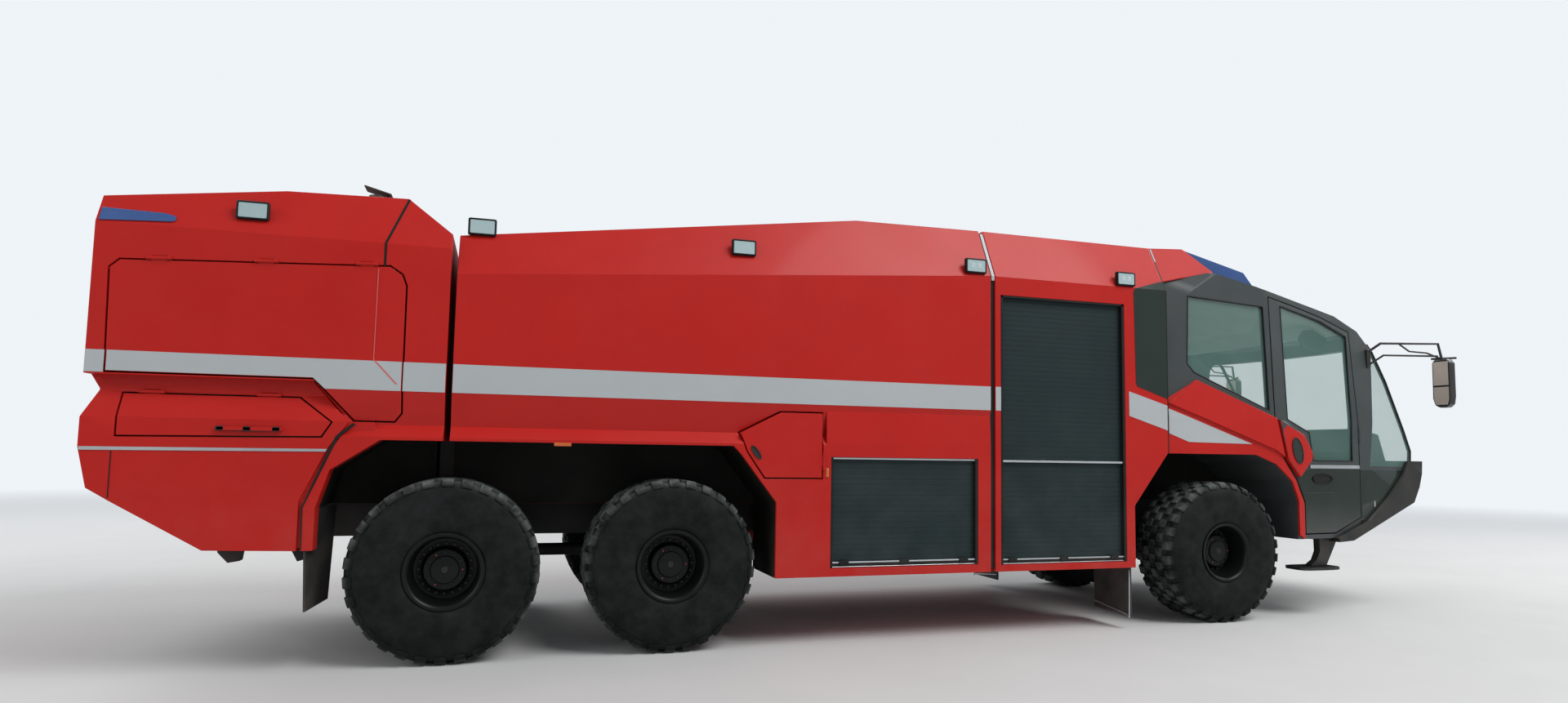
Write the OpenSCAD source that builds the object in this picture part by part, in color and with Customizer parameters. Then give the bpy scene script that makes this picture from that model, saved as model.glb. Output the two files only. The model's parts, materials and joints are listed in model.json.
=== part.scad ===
// Six-wheel airport fire truck. +X forward, +Y to the left, +Z up, ground at z = 0.
// Lengths are in millimetres. Outlines are tables of [x, z] or [y, z], and the line above
// each one says where its x counts from.

/* [Vehicle] */
// Length over all
overall_len = 12760; // [12740:5:12780]
// Width over the body sides
body_w = 3000; // [2960:10:3040]
// Rear body to the rear axle
rear_overhang = 2300; // [2280:10:2320]
// Rear axle to the middle axle
tandem = 1700; // [1690:5:1710]
// Middle axle to the front axle
wheelbase = 5480; // [5460:10:5500]

/* [Wheels] */
// Diameter over the lugs
tyre_d = 1376; // [1346:5:1381]
// Width of the tyre
tyre_w = 560; // [520:10:570]
// Diameter of the tyre's bead
rim_d = 520; // [500:5:540]
// Outer side of a tyre, inboard of the body side
tyre_inset = 10; // [0:5:30]
// Steering pivot, from the centre line
kingpin_y = 900; // [890:5:905]
// Radius of a wheel spindle
spindle_r = 62; // [55:1:70]

/* [Body] */
// Length of the rear engine section
engine_sec_len = 2255; // [2245:5:2260]
// Length of the tank section
tank_sec_len = 4545; // [4535:5:4550]
// Length of the locker section
locker_sec_len = 1890; // [1885:5:1895]
// Slot between two sections
section_gap = 45; // [35:5:50]
// Underside of the skirts above the ground
skirt_z = 570; // [540:10:600]
// Lower edge of the wheel arch lip
lip_z = 1650; // [1640:5:1660]
// Height at which the side meets the stripe
belt_z = 2005; // [1995:5:2015]
// Depth of the fold below the stripe
fold_d = 70; // [50:5:80]
// Thickness of doors and flaps
door_t = 45; // [40:1:50]
// Thickness of the pump door, which fills the fold
pump_door_t = 115; // [105:5:120]
// Thickness of the body walls round the doors
wall_t = 105; // [95:5:115]
// Gap round each door and flap
door_gap = 12; // [10:1:14]
// Running clearance at a seat or pin
seat_gap = 0.3; // [0.2:0.1:0.5]
// Depth of the walkway sunk in the roof
walkway_d = 140; // [100:10:180]
// Radius of a hinge pin
pin_r = 7; // [6:0.5:8]
// Radius of a hinge barrel
barrel_r = 13; // [12:0.5:14]

/* [Cab] */
// Cab skin, inboard of the body side
cab_inset = 50; // [45:1:55]
// Inward lean of the cab side for each unit of height
cab_lean = 0.085; // [0.07:0.005:0.1]
// Inward taper of the cab side for each unit of length
cab_taper = 0.1; // [0.09:0.005:0.11]
// Thickness of the cab doors and the cab side
cab_wall_t = 60; // [55:1:65]
// Thickness of the glass
glass_t = 12; // [8:1:14]
// Floor above the front wheels
rear_floor_z = 1720; // [1710:5:1730]
// Floor in front of the wheels
front_floor_z = 1210; // [1205:5:1220]

/* [Chassis] */
// Half the distance over the frame rails
rail_y = 460; // [450:5:465]
// Top of the frame rails
rail_top_z = 1150; // [1140:5:1155]
// Height of the frame rails
rail_h = 280; // [260:10:290]
// Radius of the axle tubes
axle_r = 105; // [95:5:115]
// Radius of a towing pin hole
tow_r = 20.5; // [18:0.5:24]

/* [Hidden] */
$fn = 48;
hw = body_w / 2;
x_rear = -overall_len / 2;
axle_rr = x_rear + rear_overhang;
axle_mid = axle_rr + tandem;
axle_f = axle_mid + wheelbase;
x_gap1 = x_rear + engine_sec_len;
x_tank = x_gap1 + section_gap;
x_gap2 = x_tank + tank_sec_len;
x_lock = x_gap2 + section_gap;
x_gap3 = x_lock + locker_sec_len;
x_cab = x_gap3 + 30;
tyre_r = tyre_d / 2;
rim_r = rim_d / 2;
wheel_z = tyre_r;
tyre_out_y = hw - tyre_inset;
tyre_in_y = tyre_out_y - tyre_w;
spindle_end_y = hw - 200;
well_in_y = tyre_in_y - 90;
well_wall_y = 800;
liner_t = 12;
bay_half = hw - wall_t - 60;
rail_bot_z = rail_top_z - rail_h;
cab_hw = hw - cab_inset;
over = 1;
sides = [-1, 1];
roof_floor_z = 3705 - walkway_d;
rear_walkway_z = 3300;

// Roof of the rear section, from its rear end
engine_roof = [[0, 3300], [1100, 3470], [1920, 3500], [2255, 3220]];
// Lower rear body, from its rear end
lower_rear = [[0, 1770], [70, 1960], [70, 2065], [1360, 2065], [1615, 1770], [1490, 1585], [1325, 1210],
    [1325, 860], [750, 875], [200, 1210], [60, 1300], [0, 1570]];
// Rear arch: its opening behind, from the rear axle, and its outer edge
arch_rear = [[-870, 0], [-870, 1160], [-790, 1430], [-470, 1650]];
flare_rear = [[-660, 1770], [-790, 1580], [-950, 1200], [-950, 860], [-870, 860]];
// Front half of the rear arch, from the middle axle
arch_mid = [[470, 1650], [530, 1590], [840, 1190], [840, 0]];
// Front arch, from the front axle
arch_front = [[-1090, 0], [-1090, 1150], [-700, 1650], [400, 1650], [650, 1560], [870, 1385], [960, 1185],
    [960, 0]];
// Upper engine flap, lower engine flap and pump door, from the middle axle
upper_flap = [[-3880, 2085], [-3895, 2790], [-3840, 2845], [-2160, 2925], [-2080, 2870], [-2050, 2790],
    [-2045, 1850], [-2090, 1790], [-2355, 1790], [-2620, 2085]];
lower_flap = [[-3790, 1940], [-2720, 1940], [-2500, 1770], [-2560, 1670], [-3790, 1655]];
pump_door = [[530, 1760], [870, 1935], [1235, 1935], [1235, 1395], [740, 1395], [590, 1610]];
// Low shutter from the middle axle, and tall shutter from the locker's rear end, [x0, x1, z0, z1]
low_shutter = [1320, 2715, 640, 1570];
tall_shutter = [60, 1400, 630, 3070];
// Windscreen, cab door, its window, side window, side wing, its tip and red side, from the front axle
windscreen = [[2110, 1550], [2245, 2560], [2270, 2870], [3300, 2870], [3300, 1550]];
cab_door = [[730, 3310], [670, 2040], [775, 1630], [948, 1412], [1064, 1168], [1064, 840], [1520, 840],
    [1940, 1000], [1940, 3010], [1500, 3150], [1090, 3240]];
door_window = [[900, 3220], [1490, 3100], [1885, 2955], [1825, 1600], [1215, 1600], [1165, 1890],
    [850, 2020]];
side_window = [[-300, 3240], [650, 3190], [610, 2105], [-300, 2460], [-375, 2545]];
wing = [[-670, 2140], [-310, 2380], [652, 2028], [752, 1630], [640, 1700]];
wing_tip = [[690, 2010], [1035, 1862], [1150, 1690], [1150, 1615], [965, 1428], [800, 1605]];
red_side = [[-715, 2160], [-310, 2370], [645, 2020], [745, 1622], [925, 1400], [1040, 1165], [1040, 800],
    [-715, 1600]];

// Cab skin, room and bumper: each row is [height, x of the corner from the front axle]
cab_skin = [[795, 1560], [850, 1850], [1280, 2500], [1500, 2670], [1600, 2720], [1720, 2720], [1960, 2620],
    [2490, 2380], [2820, 2190], [3030, 1990], [3180, 1660], [3320, 1020], [3400, 650], [3500, 120]];
cab_room = [[880, 1700], [1280, 2390], [1500, 2590], [1600, 2640], [1720, 2640], [1960, 2545], [2490, 2300],
    [2800, 2110], [2990, 1900], [3125, 1580], [3260, 970], [3340, 600], [3440, 60]];
bumper_skin = [[755, 1540], [770, 1800], [1160, 2690], [1330, 2778], [1470, 2820], [1610, 2830]];
bumper_proud = 40;
// Nose seen from above: its half width, and [forward of the corner, share of the half width]
nose_w = 1300;
nose_points = [[0, 1], [230, 0.85], [345, 0.6], [410, 0.3]];
// Where the tables of the cab are drawn from, so that the bumper ends at the overall length
x_nose = x_rear + overall_len - bumper_skin[len(bumper_skin) - 1][1] - nose_points[3][0] - bumper_proud;
// Seats: the driver's before the wheels, and two by the rear wall
seat_spots = [[x_nose + 1330, 0, front_floor_z], [x_cab + 550, -760, rear_floor_z],
    [x_cab + 550, 760, rear_floor_z]];
// Scene lamps: each row is [x from the middle axle, z of the lower edge]
lamp_spots = [[-3080, 3200], [-1540, 3250], [540, 3250], [2690, 3250], [4310, 3250]];
lamp_w = 210;
lamp_h = 135;

function pts(table, x0) = [for (p = table) [p[0] + x0, p[1]]];
function both(half) = concat(half, [for (i = [len(half) - 1:-1:0]) [-half[i][0], half[i][1]]]);

// An outline set in by d all round, or out where d is below zero
function turn_sign(table) = let(n = len(table))
    sign([for (i = [0:n - 1]) cross(table[i], table[(i + 1) % n])] * [for (i = [1:n]) 1]);
function edge_normal(a, b, s) = s * [b[1] - a[1], a[0] - b[0]] / norm(b - a);
function shrink(table, d) = let(n = len(table), s = turn_sign(table))
    [for (i = [0:n - 1]) let(u = edge_normal(table[(i + n - 1) % n], table[i], s),
        v = edge_normal(table[i], table[(i + 1) % n], s)) table[i] - d * (u + v) / (1 + u * v)];

// Half width of the cab skin at a place
function cab_y(x, z) = cab_hw - cab_taper * max(0, x - x_nose - 720) - cab_lean * max(0, z - belt_z);

// Heading of a nose band, and a step that keeps the bends of neighbouring bands apart
function band_heading(i) = let(a = nose_points[i], b = nose_points[i + 1])
    atan2(b[0] - a[0], nose_w * (a[1] - b[1]));
function band_step(i) = i % 2 == 0 ? -4 : 4;
// Outline of a nose band: the cab's profile in the plane across the band
function nose_reach(x, h, at) = cos(h) * (x + at[0]) + sin(h) * nose_w * at[1];
function nose_outline(table, h, at, d, step, more) = concat(
    [[nose_reach(table[0][1], h, at) - d, table[0][0] + step - more]],
    [for (s = table) [nose_reach(s[1], h, at) - d, s[0] + step]],
    [let(s = table[len(table) - 1]) [nose_reach(s[1], h, at) - d, s[0] + step + more]],
    [[-6000, table[len(table) - 1][0] + step + more], [-6000, table[0][0] + step - more]]);

// Crease where the body side turns in to the roof, and the side above it
rear_crease_z = 3100;
tank_crease_z = [2910, 3240];
tank_rise = atan2(tank_crease_z[1] - tank_crease_z[0], tank_sec_len);
function crease_z(x) = x < x_gap1 + 10 ? rear_crease_z
    : tank_crease_z[0] + (tank_crease_z[1] - tank_crease_z[0]) * min(1, (x - x_tank) / tank_sec_len);
facet_lean = 0.5;
function facet_y(x, z) = x < x_gap1 + 10 || x > x_lock - 10 ? hw - facet_lean * (z - crease_z(x))
    : hw - facet_lean * ((z - tank_crease_z[0]) * cos(tank_rise) - (x - x_tank) * sin(tank_rise));
function tank_roof(x) = x < axle_mid + 1630 ? 3240 + 460 * (x - x_tank) / (axle_mid + 1630 - x_tank) : 3705;

// Half of the body's outline across: skirt, lip, fold, stripe, crease and roof
function body_half(d, crease, top) = [[hw - d, skirt_z], [hw - d, lip_z + 25], [hw - fold_d - d, lip_z + 110],
    [hw - d, belt_z], [hw - d, crease], [hw - d - facet_lean * (top - crease), top]];
function lower_half(d) = [[hw - d, 700], [hw - d, 1780], [hw - 90 - d, 1960], [hw - 90 - d, 2085]];

// Extrudes an [x, z] outline across the vehicle from y0 to y1
module across(outline, y0, y1) {
    translate([0, y1, 0]) rotate([90, 0, 0]) linear_extrude(y1 - y0) polygon(outline);
}

// Extrudes a [y, z] outline along the vehicle from x0 to x1
module along(outline, x0, x1) {
    translate([x0, 0, 0]) rotate([90, 0, 90]) linear_extrude(x1 - x0) polygon(outline);
}

module box(x0, x1, y0, y1, z0, z1) {
    translate([x0, y0, z0]) cube([x1 - x0, y1 - y0, z1 - z0]);
}

module on_side(side) {
    mirror([0, side < 0 ? 1 : 0, 0]) children();
}

module both_sides() {
    children();
    mirror([0, 1, 0]) children();
}

module tube_y(x, z, r, y0, y1) {
    translate([x, y1, z]) rotate([90, 0, 0]) cylinder(r = r, h = y1 - y0);
}

module strut(p, q, r) {
    d = q - p;
    translate(p) rotate([0, acos(d[2] / norm(d)), atan2(d[1], d[0])]) cylinder(r = r, h = norm(d));
}

// Round tube along a few points, with a ball at each bend
module bent_tube(points, r) {
    for (i = [0:len(points) - 2]) strut(points[i], points[i + 1], r);
    for (p = points) translate(p) sphere(r = r + 2);
}

// Sloping half of the cab side that tapers to the nose
module taper_wall(d) {
    belt = belt_z + 4;
    translate([x_nose + 720, cab_hw, 0]) rotate([0, 0, -atan(cab_taper)])
        along([[-d, 0], [-d, belt], [-d - cab_lean * 1700, belt + 1700], [-4500, belt + 1700], [-4500, 0]],
            -5000, 5000);
}

// The cab's shape from one of its tables, set in by side_d at the sides and nose_d at the nose
module cab_solid(table, side_d, nose_d) {
    top = belt_z + 1600;
    last = len(table) - 1;
    intersection() {
        along(both([[cab_hw - side_d, 600], [cab_hw - side_d, belt_z],
            [cab_hw - side_d - cab_lean * (top - belt_z), top]]), x_cab, x_nose + 3400);
        taper_wall(side_d);
        mirror([0, 1, 0]) taper_wall(side_d);
        translate([x_nose, 0, 0]) across(concat([for (s = table) [s[1] + nose_points[3][0] - nose_d, s[0]]],
            [[-6000, table[last][0]], [-6000, table[0][0]]]), -5000, 5000);
        intersection_for(side = sides) intersection_for(i = [0:2])
            translate([x_nose, 0, 0]) rotate([0, 0, side * band_heading(i)])
                across(nose_outline(table, band_heading(i), nose_points[i], nose_d, band_step(i), 30),
                    -5000, 5000);
    }
}

// A piece of the cab's skin between two insets, inside an outline
module cab_piece(outline, y0, y1, a, b) {
    difference() {
        intersection() {
            across(pts(outline, x_nose), y0, y1);
            cab_solid(cab_skin, a, a);
        }
        cab_solid(cab_skin, b, b);
    }
}
module cab_side_piece(outline, a, b) {
    cab_piece(outline, cab_hw - 320, hw + 100, a, b);
}

// Hinge along +X from the origin. The fixed ends with their pin reach up by a leaf, and the
// moving barrel reaches down. A pocket clears the moving barrel. Spots are the hinges' starts.
hinge_end = 30;
hinge_mid = 90;
module hinge_fixed(spots, leaf) {
    for (s = spots) translate([s, 0, 0]) rotate([0, 90, 0]) {
        cylinder(r = pin_r, h = 2 * hinge_end + hinge_mid);
        for (e = [0, hinge_end + hinge_mid + seat_gap]) translate([0, 0, e]) {
            cylinder(r = barrel_r, h = hinge_end - seat_gap);
            translate([-leaf, -barrel_r, 0]) cube([leaf, barrel_r - 2, hinge_end - seat_gap]);
        }
    }
}
module hinge_moving(spots, leaf) {
    for (s = spots) translate([s + hinge_end, 0, 0]) rotate([0, 90, 0]) difference() {
        union() {
            cylinder(r = barrel_r, h = hinge_mid);
            translate([0, -barrel_r, 0]) cube([leaf, barrel_r - 2, hinge_mid]);
        }
        translate([0, 0, -over]) cylinder(r = pin_r + seat_gap, h = hinge_mid + 2 * over);
    }
}
module hinge_pocket(spots) {
    for (s = spots) translate([s + hinge_end - 2, 0, 0]) rotate([0, 90, 0])
        cylinder(r = barrel_r + 4, h = hinge_mid + 4);
}

// Hinge lines stand off the edge of their flap by hinge_off. Upright ones run down from the top.
hinge_off = barrel_r + 4;
flap_slope = atan2(upper_flap[3][1] - upper_flap[2][1], upper_flap[3][0] - upper_flap[2][0]);
upper_spots = [150, 800, 1450];
lower_spots = [90, 800];
door_spots = [0, 800];
module at_upper_hinge() {
    translate([axle_mid + upper_flap[2][0], hw + 3, upper_flap[2][1] + hinge_off])
        rotate([0, -flap_slope, 0]) children();
}
module at_lower_hinge() {
    translate([axle_mid + lower_flap[0][0], hw - 85, lower_flap[0][1] + hinge_off]) children();
}
module at_pump_hinge() {
    translate([axle_mid + pump_door[2][0] + hinge_off, hw + 3, 1610]) rotate([0, 90, 0]) children();
}
door_hinge_x = x_nose + cab_door[7][0] - door_gap + hinge_off;
module at_door_hinge() {
    translate([door_hinge_x, cab_y(door_hinge_x, belt_z) + 3, 1950]) rotate([0, 90, 0]) children();
}

module frame() {
    color("dimgray") {
        both_sides() box(x_rear + 500, axle_f + 1300, rail_y - 90, rail_y, rail_bot_z, rail_top_z);
        for (x = [axle_rr + 850, axle_mid + 900, axle_mid + 2700, axle_f - 1000, axle_f + 900])
            box(x - 60, x + 60, -rail_y + 10, rail_y - 10, rail_bot_z + 40, rail_top_z - 40);
        // Outriggers under the rear body and the lockers, and posts under the cab
        both_sides() {
            for (x = [x_rear + 800, x_rear + 1180])
                box(x, x + 70, rail_y - 10, bay_half, rail_top_z - 70, rail_top_z);
            for (x = [axle_mid + 1200, axle_mid + 2400, x_lock + 300, x_gap3 - 900])
                box(x, x + 70, rail_y - 10, 800, rail_top_z - 70, rail_top_z);
            for (x = [axle_f - 580, axle_f + 200])
                box(x, x + 150, rail_y - 90, rail_y - liner_t - 2, rail_top_z - over, lip_z);
        }
        // Rear towing clevis
        difference() {
            union() {
                box(x_rear + 440, x_rear + 640, -rail_y + 10, rail_y - 10, rail_bot_z - 10, rail_top_z - 20);
                box(x_rear + 330, x_rear + 500, -70, 70, 850, 1050);
            }
            box(x_rear + 300, x_rear + 420, -90, 90, 905, 995);
            translate([x_rear + 375, 0, 800]) cylinder(r = tow_r, h = 300);
        }
    }
}

module beam(x, half_len) {
    tube_y(x, wheel_z, axle_r, -half_len, half_len);
    translate([x, 0, wheel_z]) sphere(r = 235);
    translate([x - 260, 0, wheel_z]) rotate([0, 90, 0]) cylinder(r = 80, h = 520);
}

// Coil spring in its outer shape, on a side arm of the axle
module spring(x, y, z0, z1) {
    translate([x, y, z0]) cylinder(r = 75, h = z1 - z0);
    for (i = [0:4]) translate([x, y, z0 + 20 + i * (z1 - z0 - 64) / 4]) cylinder(r = 98, h = 24);
}

module axle_arm(x, dir) {
    both_sides() {
        spring(x, rail_y - 140, wheel_z + 60, rail_bot_z);
        ends = [min(x, x + dir * 740), max(x, x + dir * 740)];
        box(ends[0], ends[1], rail_y - 170, rail_y - 120, wheel_z - 40, wheel_z + 40);
        box(x + dir * 700 - 40, x + dir * 700 + 40, rail_y - 170, rail_y - 20, wheel_z - 40, rail_bot_z);
    }
}

module rear_axles() {
    color("dimgray") for (x = [axle_rr, axle_mid]) {
        beam(x, tyre_in_y + 60);
        axle_arm(x, x == axle_rr ? -1 : 1);
        both_sides() {
            tube_y(x, wheel_z, spindle_r, tyre_in_y, spindle_end_y);
            tube_y(x, wheel_z, 190, tyre_in_y - 90, tyre_in_y + 60);
        }
    }
}

module front_axle() {
    color("dimgray") {
        beam(axle_f, kingpin_y - 130);
        axle_arm(axle_f, -1);
        // Yoke that holds the steering pivot
        both_sides() difference() {
            union() {
                for (z = [wheel_z - 185, wheel_z + 135])
                    box(axle_f - 60, axle_f + 60, kingpin_y - 190, kingpin_y + 60, z, z + 50);
                box(axle_f - 60, axle_f + 60, kingpin_y - 190, kingpin_y - 125, wheel_z - 185, wheel_z + 185);
            }
            translate([axle_f, kingpin_y, wheel_z - 200]) cylinder(r = 30 + seat_gap, h = 400);
        }
    }
}

module knuckle(side) {
    color("dimgray") on_side(side) {
        translate([axle_f, kingpin_y, wheel_z - 135 + seat_gap]) cylinder(r = 60, h = 270 - 2 * seat_gap);
        translate([axle_f, kingpin_y, wheel_z - 185]) cylinder(r = 30, h = 370);
        tube_y(axle_f, wheel_z, 120, kingpin_y, kingpin_y + 110);
        tube_y(axle_f, wheel_z, spindle_r, kingpin_y, spindle_end_y);
        box(axle_f - 260, axle_f - 40, kingpin_y - 55, kingpin_y - 10, wheel_z - 60, wheel_z - 20);
    }
}
module knuckle_r() { knuckle(-1); }
module knuckle_l() { knuckle(1); }

module tyre(x, side) {
    color("#1c1d1e") on_side(side) translate([x, tyre_out_y, wheel_z]) rotate([90, 0, 0])
        rotate_extrude($fn = 96) polygon([[rim_r, 40], [rim_r + 30, 15], [rim_r + 110, 0], [tyre_r - 130, 0],
            [tyre_r - 55, 18], [tyre_r - 12, 40], [tyre_r, 75], [tyre_r, tyre_w - 75],
            [tyre_r - 12, tyre_w - 40], [tyre_r - 55, tyre_w - 18], [tyre_r - 130, tyre_w],
            [rim_r + 110, tyre_w], [rim_r + 30, tyre_w - 15], [rim_r, tyre_w - 40]]);
}
module tyre_rr() { tyre(axle_rr, -1); }
module tyre_rl() { tyre(axle_rr, 1); }
module tyre_mr() { tyre(axle_mid, -1); }
module tyre_ml() { tyre(axle_mid, 1); }
module tyre_fr() { tyre(axle_f, -1); }
module tyre_fl() { tyre(axle_f, 1); }

module rim(x, side) {
    r = rim_r - seat_gap;
    color("#222426") on_side(side) translate([x, tyre_out_y, wheel_z]) rotate([90, 0, 0]) difference() {
        rotate_extrude($fn = 96) polygon([[0, 130], [95, 130], [110, 150], [150, 215], [r - 34, 235],
            [r - 28, 46], [r, 46], [r, tyre_w - 46], [r - 24, tyre_w - 46], [r - 30, 290], [150, 290],
            [110, 330], [0, 330]]);
        translate([0, 0, tyre_out_y - spindle_end_y - seat_gap]) cylinder(r = spindle_r + seat_gap, h = 400);
    }
}
module rim_rr() { rim(axle_rr, -1); }
module rim_rl() { rim(axle_rr, 1); }
module rim_mr() { rim(axle_mid, -1); }
module rim_ml() { rim(axle_mid, 1); }
module rim_fr() { rim(axle_f, -1); }
module rim_fl() { rim(axle_f, 1); }

module driveline() {
    case_x = [axle_mid + 1600, axle_mid + 2300];
    color("#3a3b3c") {
        box(case_x[0], case_x[1], -260, 260, rail_bot_z - 130, rail_top_z - 60);
        box(case_x[0] + 200, case_x[1] - 200, -rail_y + 90, rail_y - 90, rail_bot_z + 60, rail_bot_z + 140);
        box(case_x[0], case_x[1], -100, 100, wheel_z - 110, rail_bot_z - 120);
        for (s = [[axle_rr + 260, axle_mid - 260], [axle_mid + 260, case_x[0]], [case_x[1], axle_f - 260]])
            translate([s[0], 0, wheel_z]) rotate([0, 90, 0]) cylinder(r = 55, h = s[1] - s[0]);
    }
}

module engine() {
    color("#4a4c4e") box(x_rear + 560, x_gap1 - 320, -rail_y + 20, rail_y - 20, rail_top_z, 2350);
}

module rear_body() {
    color("#c4241c") {
        difference() {
            union() {
                // Upper part with the arch flare
                intersection() {
                    along(both(body_half(0, rear_crease_z, 3800)), x_rear, x_gap1);
                    across(concat(pts(engine_roof, x_rear), [[x_gap1, lip_z]],
                        [for (i = [3:-1:1]) arch_rear[i] + [axle_rr, 0]], [[axle_rr - 870, 860]],
                        [for (i = [3:-1:0]) flare_rear[i] + [axle_rr, 0]],
                        [[axle_rr - 920, 2065], [x_rear, 2065]]), -hw, hw);
                }
                // Lower part, and the set-in wall that joins the two
                intersection() {
                    along(both(lower_half(0)), x_rear, x_gap1);
                    across(pts(lower_rear, x_rear), -hw, hw);
                }
                intersection() {
                    along(both([[hw - 30, 870], [hw - 30, 1780], [hw - 110, 1950], [hw - 110, 2200]]),
                        x_rear, x_gap1);
                    across([[x_rear + 80, 1300], [x_rear + 80, 2200], [axle_rr - 600, 2200],
                        [axle_rr - 500, 1700], [axle_rr - 790, 1440], [axle_rr - 880, 1165],
                        [axle_rr - 880, 880], [axle_rr - 1500, 880], [x_rear + 210, 1215]], -hw, hw);
                }
            }
            // Engine bay, open below
            along(both([[bay_half, 600], [bay_half, rear_walkway_z - 240], [hw - 420, rear_walkway_z - 120]]),
                x_rear + 150, x_gap1 - 80);
            // Openings of the side flaps
            both_sides() {
                across(pts(shrink(upper_flap, -door_gap), axle_mid), hw - 200, hw + over);
                across(pts(shrink(lower_flap, -door_gap), axle_mid), hw - 200, hw + over);
                at_upper_hinge() hinge_pocket(upper_spots);
                at_lower_hinge() hinge_pocket(lower_spots);
                // Seats of the tail lamps
                box(x_rear - over, x_rear + 60, 1150, 1390, 1585, 1755);
            }
            // Seat of the rear grille
            box(x_rear - over, x_rear + 60, -950, 950, 2200, 3050);
            box(x_rear, x_rear + 200, -900, 900, 2250, 3000);
            // Walkway in the roof
            box(x_rear + 150, x_gap1 - 480, -hw + 560, hw - 560, rear_walkway_z, 3700);
        }
        both_sides() {
            at_upper_hinge() hinge_fixed(upper_spots, 30);
            at_lower_hinge() hinge_fixed(lower_spots, 30);
        }
    }
}

module upper_flap(side) {
    color("#c4241c") on_side(side) {
        intersection() {
            across(pts(upper_flap, axle_mid), hw - 250, hw + over);
            difference() {
                along(both(body_half(0, rear_crease_z, 3800)), x_rear, x_gap1);
                along(both(body_half(door_t, rear_crease_z, 3800)), x_rear - over, x_gap1 + over);
            }
        }
        at_upper_hinge() hinge_moving(upper_spots, 40);
    }
}
module upper_flap_r() { upper_flap(-1); }
module upper_flap_l() { upper_flap(1); }

module lower_flap(side) {
    color("#c4241c") on_side(side) {
        intersection() {
            across(pts(lower_flap, axle_mid), hw - 250, hw + over);
            difference() {
                along(both(lower_half(0)), x_rear, x_gap1);
                along(both(lower_half(door_t)), x_rear - over, x_gap1 + over);
            }
        }
        at_lower_hinge() hinge_moving(lower_spots, 40);
        // Handle bar on two feet
        for (x = [axle_mid - 3200, axle_mid - 2830]) box(x, x + 30, hw - 20, hw + 25, 1700, 1725);
        box(axle_mid - 3200, axle_mid - 2800, hw + 10, hw + 30, 1700, 1725);
    }
}
module lower_flap_r() { lower_flap(-1); }
module lower_flap_l() { lower_flap(1); }

module rear_grille() {
    color("#2a2b2c") {
        difference() {
            box(x_rear, x_rear + 60, -950 + 3, 950 - 3, 2203, 3047);
            box(x_rear - over, x_rear + 40, -880, 880, 2270, 2980);
        }
        for (i = [0:8]) box(x_rear + 5, x_rear + 41, -881, 881, 2300 + i * 76, 2330 + i * 76);
    }
}

module exhaust() {
    color("#55504a") {
        translate([x_gap1 - 635, -620, rear_walkway_z]) {
            cylinder(r = 75, h = 365);
            translate([0, 0, 395]) rotate([0, 15, 0]) translate([-105, -90, 0]) cube([210, 180, 10]);
            strut([65, 0, 345], [65, 0, 383], 8);
        }
    }
}

// Tank shape: upright sides with the fold, facets that rise to the front, and the roof line
module tank_shape() {
    intersection() {
        along(both([[hw, skirt_z], [hw, lip_z + 25], [hw - fold_d, lip_z + 110], [hw, belt_z], [hw, 3900]]),
            x_tank, x_gap2);
        translate([x_tank, 0, tank_crease_z[0]]) rotate([0, -tank_rise, 0])
            along(both([[hw + 500, -4000], [hw + 500, -1000], [hw - 600, 1200]]), -300, tank_sec_len + 300);
        across([[x_tank - 10, 0], [x_tank - 10, tank_roof(x_tank)],
            [axle_mid + 1630, tank_roof(axle_mid + 1630)], [x_gap2 + 10, 3710], [x_gap2 + 10, 0]],
            -hw - 10, hw + 10);
    }
}

module tank_body() {
    color("#c4241c") {
        difference() {
            tank_shape();
            // Room for the frame, and the rear wheel arches
            box(x_tank - over, x_gap2 + over, -well_wall_y, well_wall_y, 0, rail_top_z + seat_gap);
            both_sides() {
                across(concat([[x_tank - over, 0], [x_tank - over, lip_z]], pts(arch_mid, axle_mid)),
                    well_wall_y - over, hw + over);
                // Shutter opening and pump compartment
                box(axle_mid + low_shutter[0], axle_mid + low_shutter[1], hw - 45, hw + over, low_shutter[2],
                    low_shutter[3]);
                across(pts(shrink(pump_door, -door_gap), axle_mid), hw - 320, hw + over);
                at_pump_hinge() hinge_pocket([0]);
            }
            // Walkway in the roof
            box(x_tank + 1400, x_gap2 - 100, -hw + 560, hw - 560, roof_floor_z, 3900);
        }
        both_sides() at_pump_hinge() hinge_fixed([0], 20);
    }
}
module pump_door(side) {
    color("#c4241c") on_side(side) {
        across(pts(pump_door, axle_mid), hw - pump_door_t, hw);
        at_pump_hinge() hinge_moving([0], 40);
    }
}
module pump_door_r() { pump_door(-1); }
module pump_door_l() { pump_door(1); }

module locker_body() {
    half = [[hw, skirt_z], [hw, crease_z(x_lock)], [facet_y(x_lock, 3710), 3710]];
    color("#c4241c") difference() {
        along(both(half), x_lock, x_gap3);
        box(x_lock - over, x_gap3 + over, -well_wall_y, well_wall_y, 0, rail_top_z + seat_gap);
        both_sides() {
            across(pts(arch_front, axle_f), well_wall_y - over, hw + over);
            box(x_lock + tall_shutter[0], x_lock + tall_shutter[1], hw - 45, hw + over,
                tall_shutter[2], tall_shutter[3]);
        }
        box(x_lock + 100, x_gap3 - 100, -hw + 560, hw - 560, roof_floor_z, 3900);
    }
}

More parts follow.
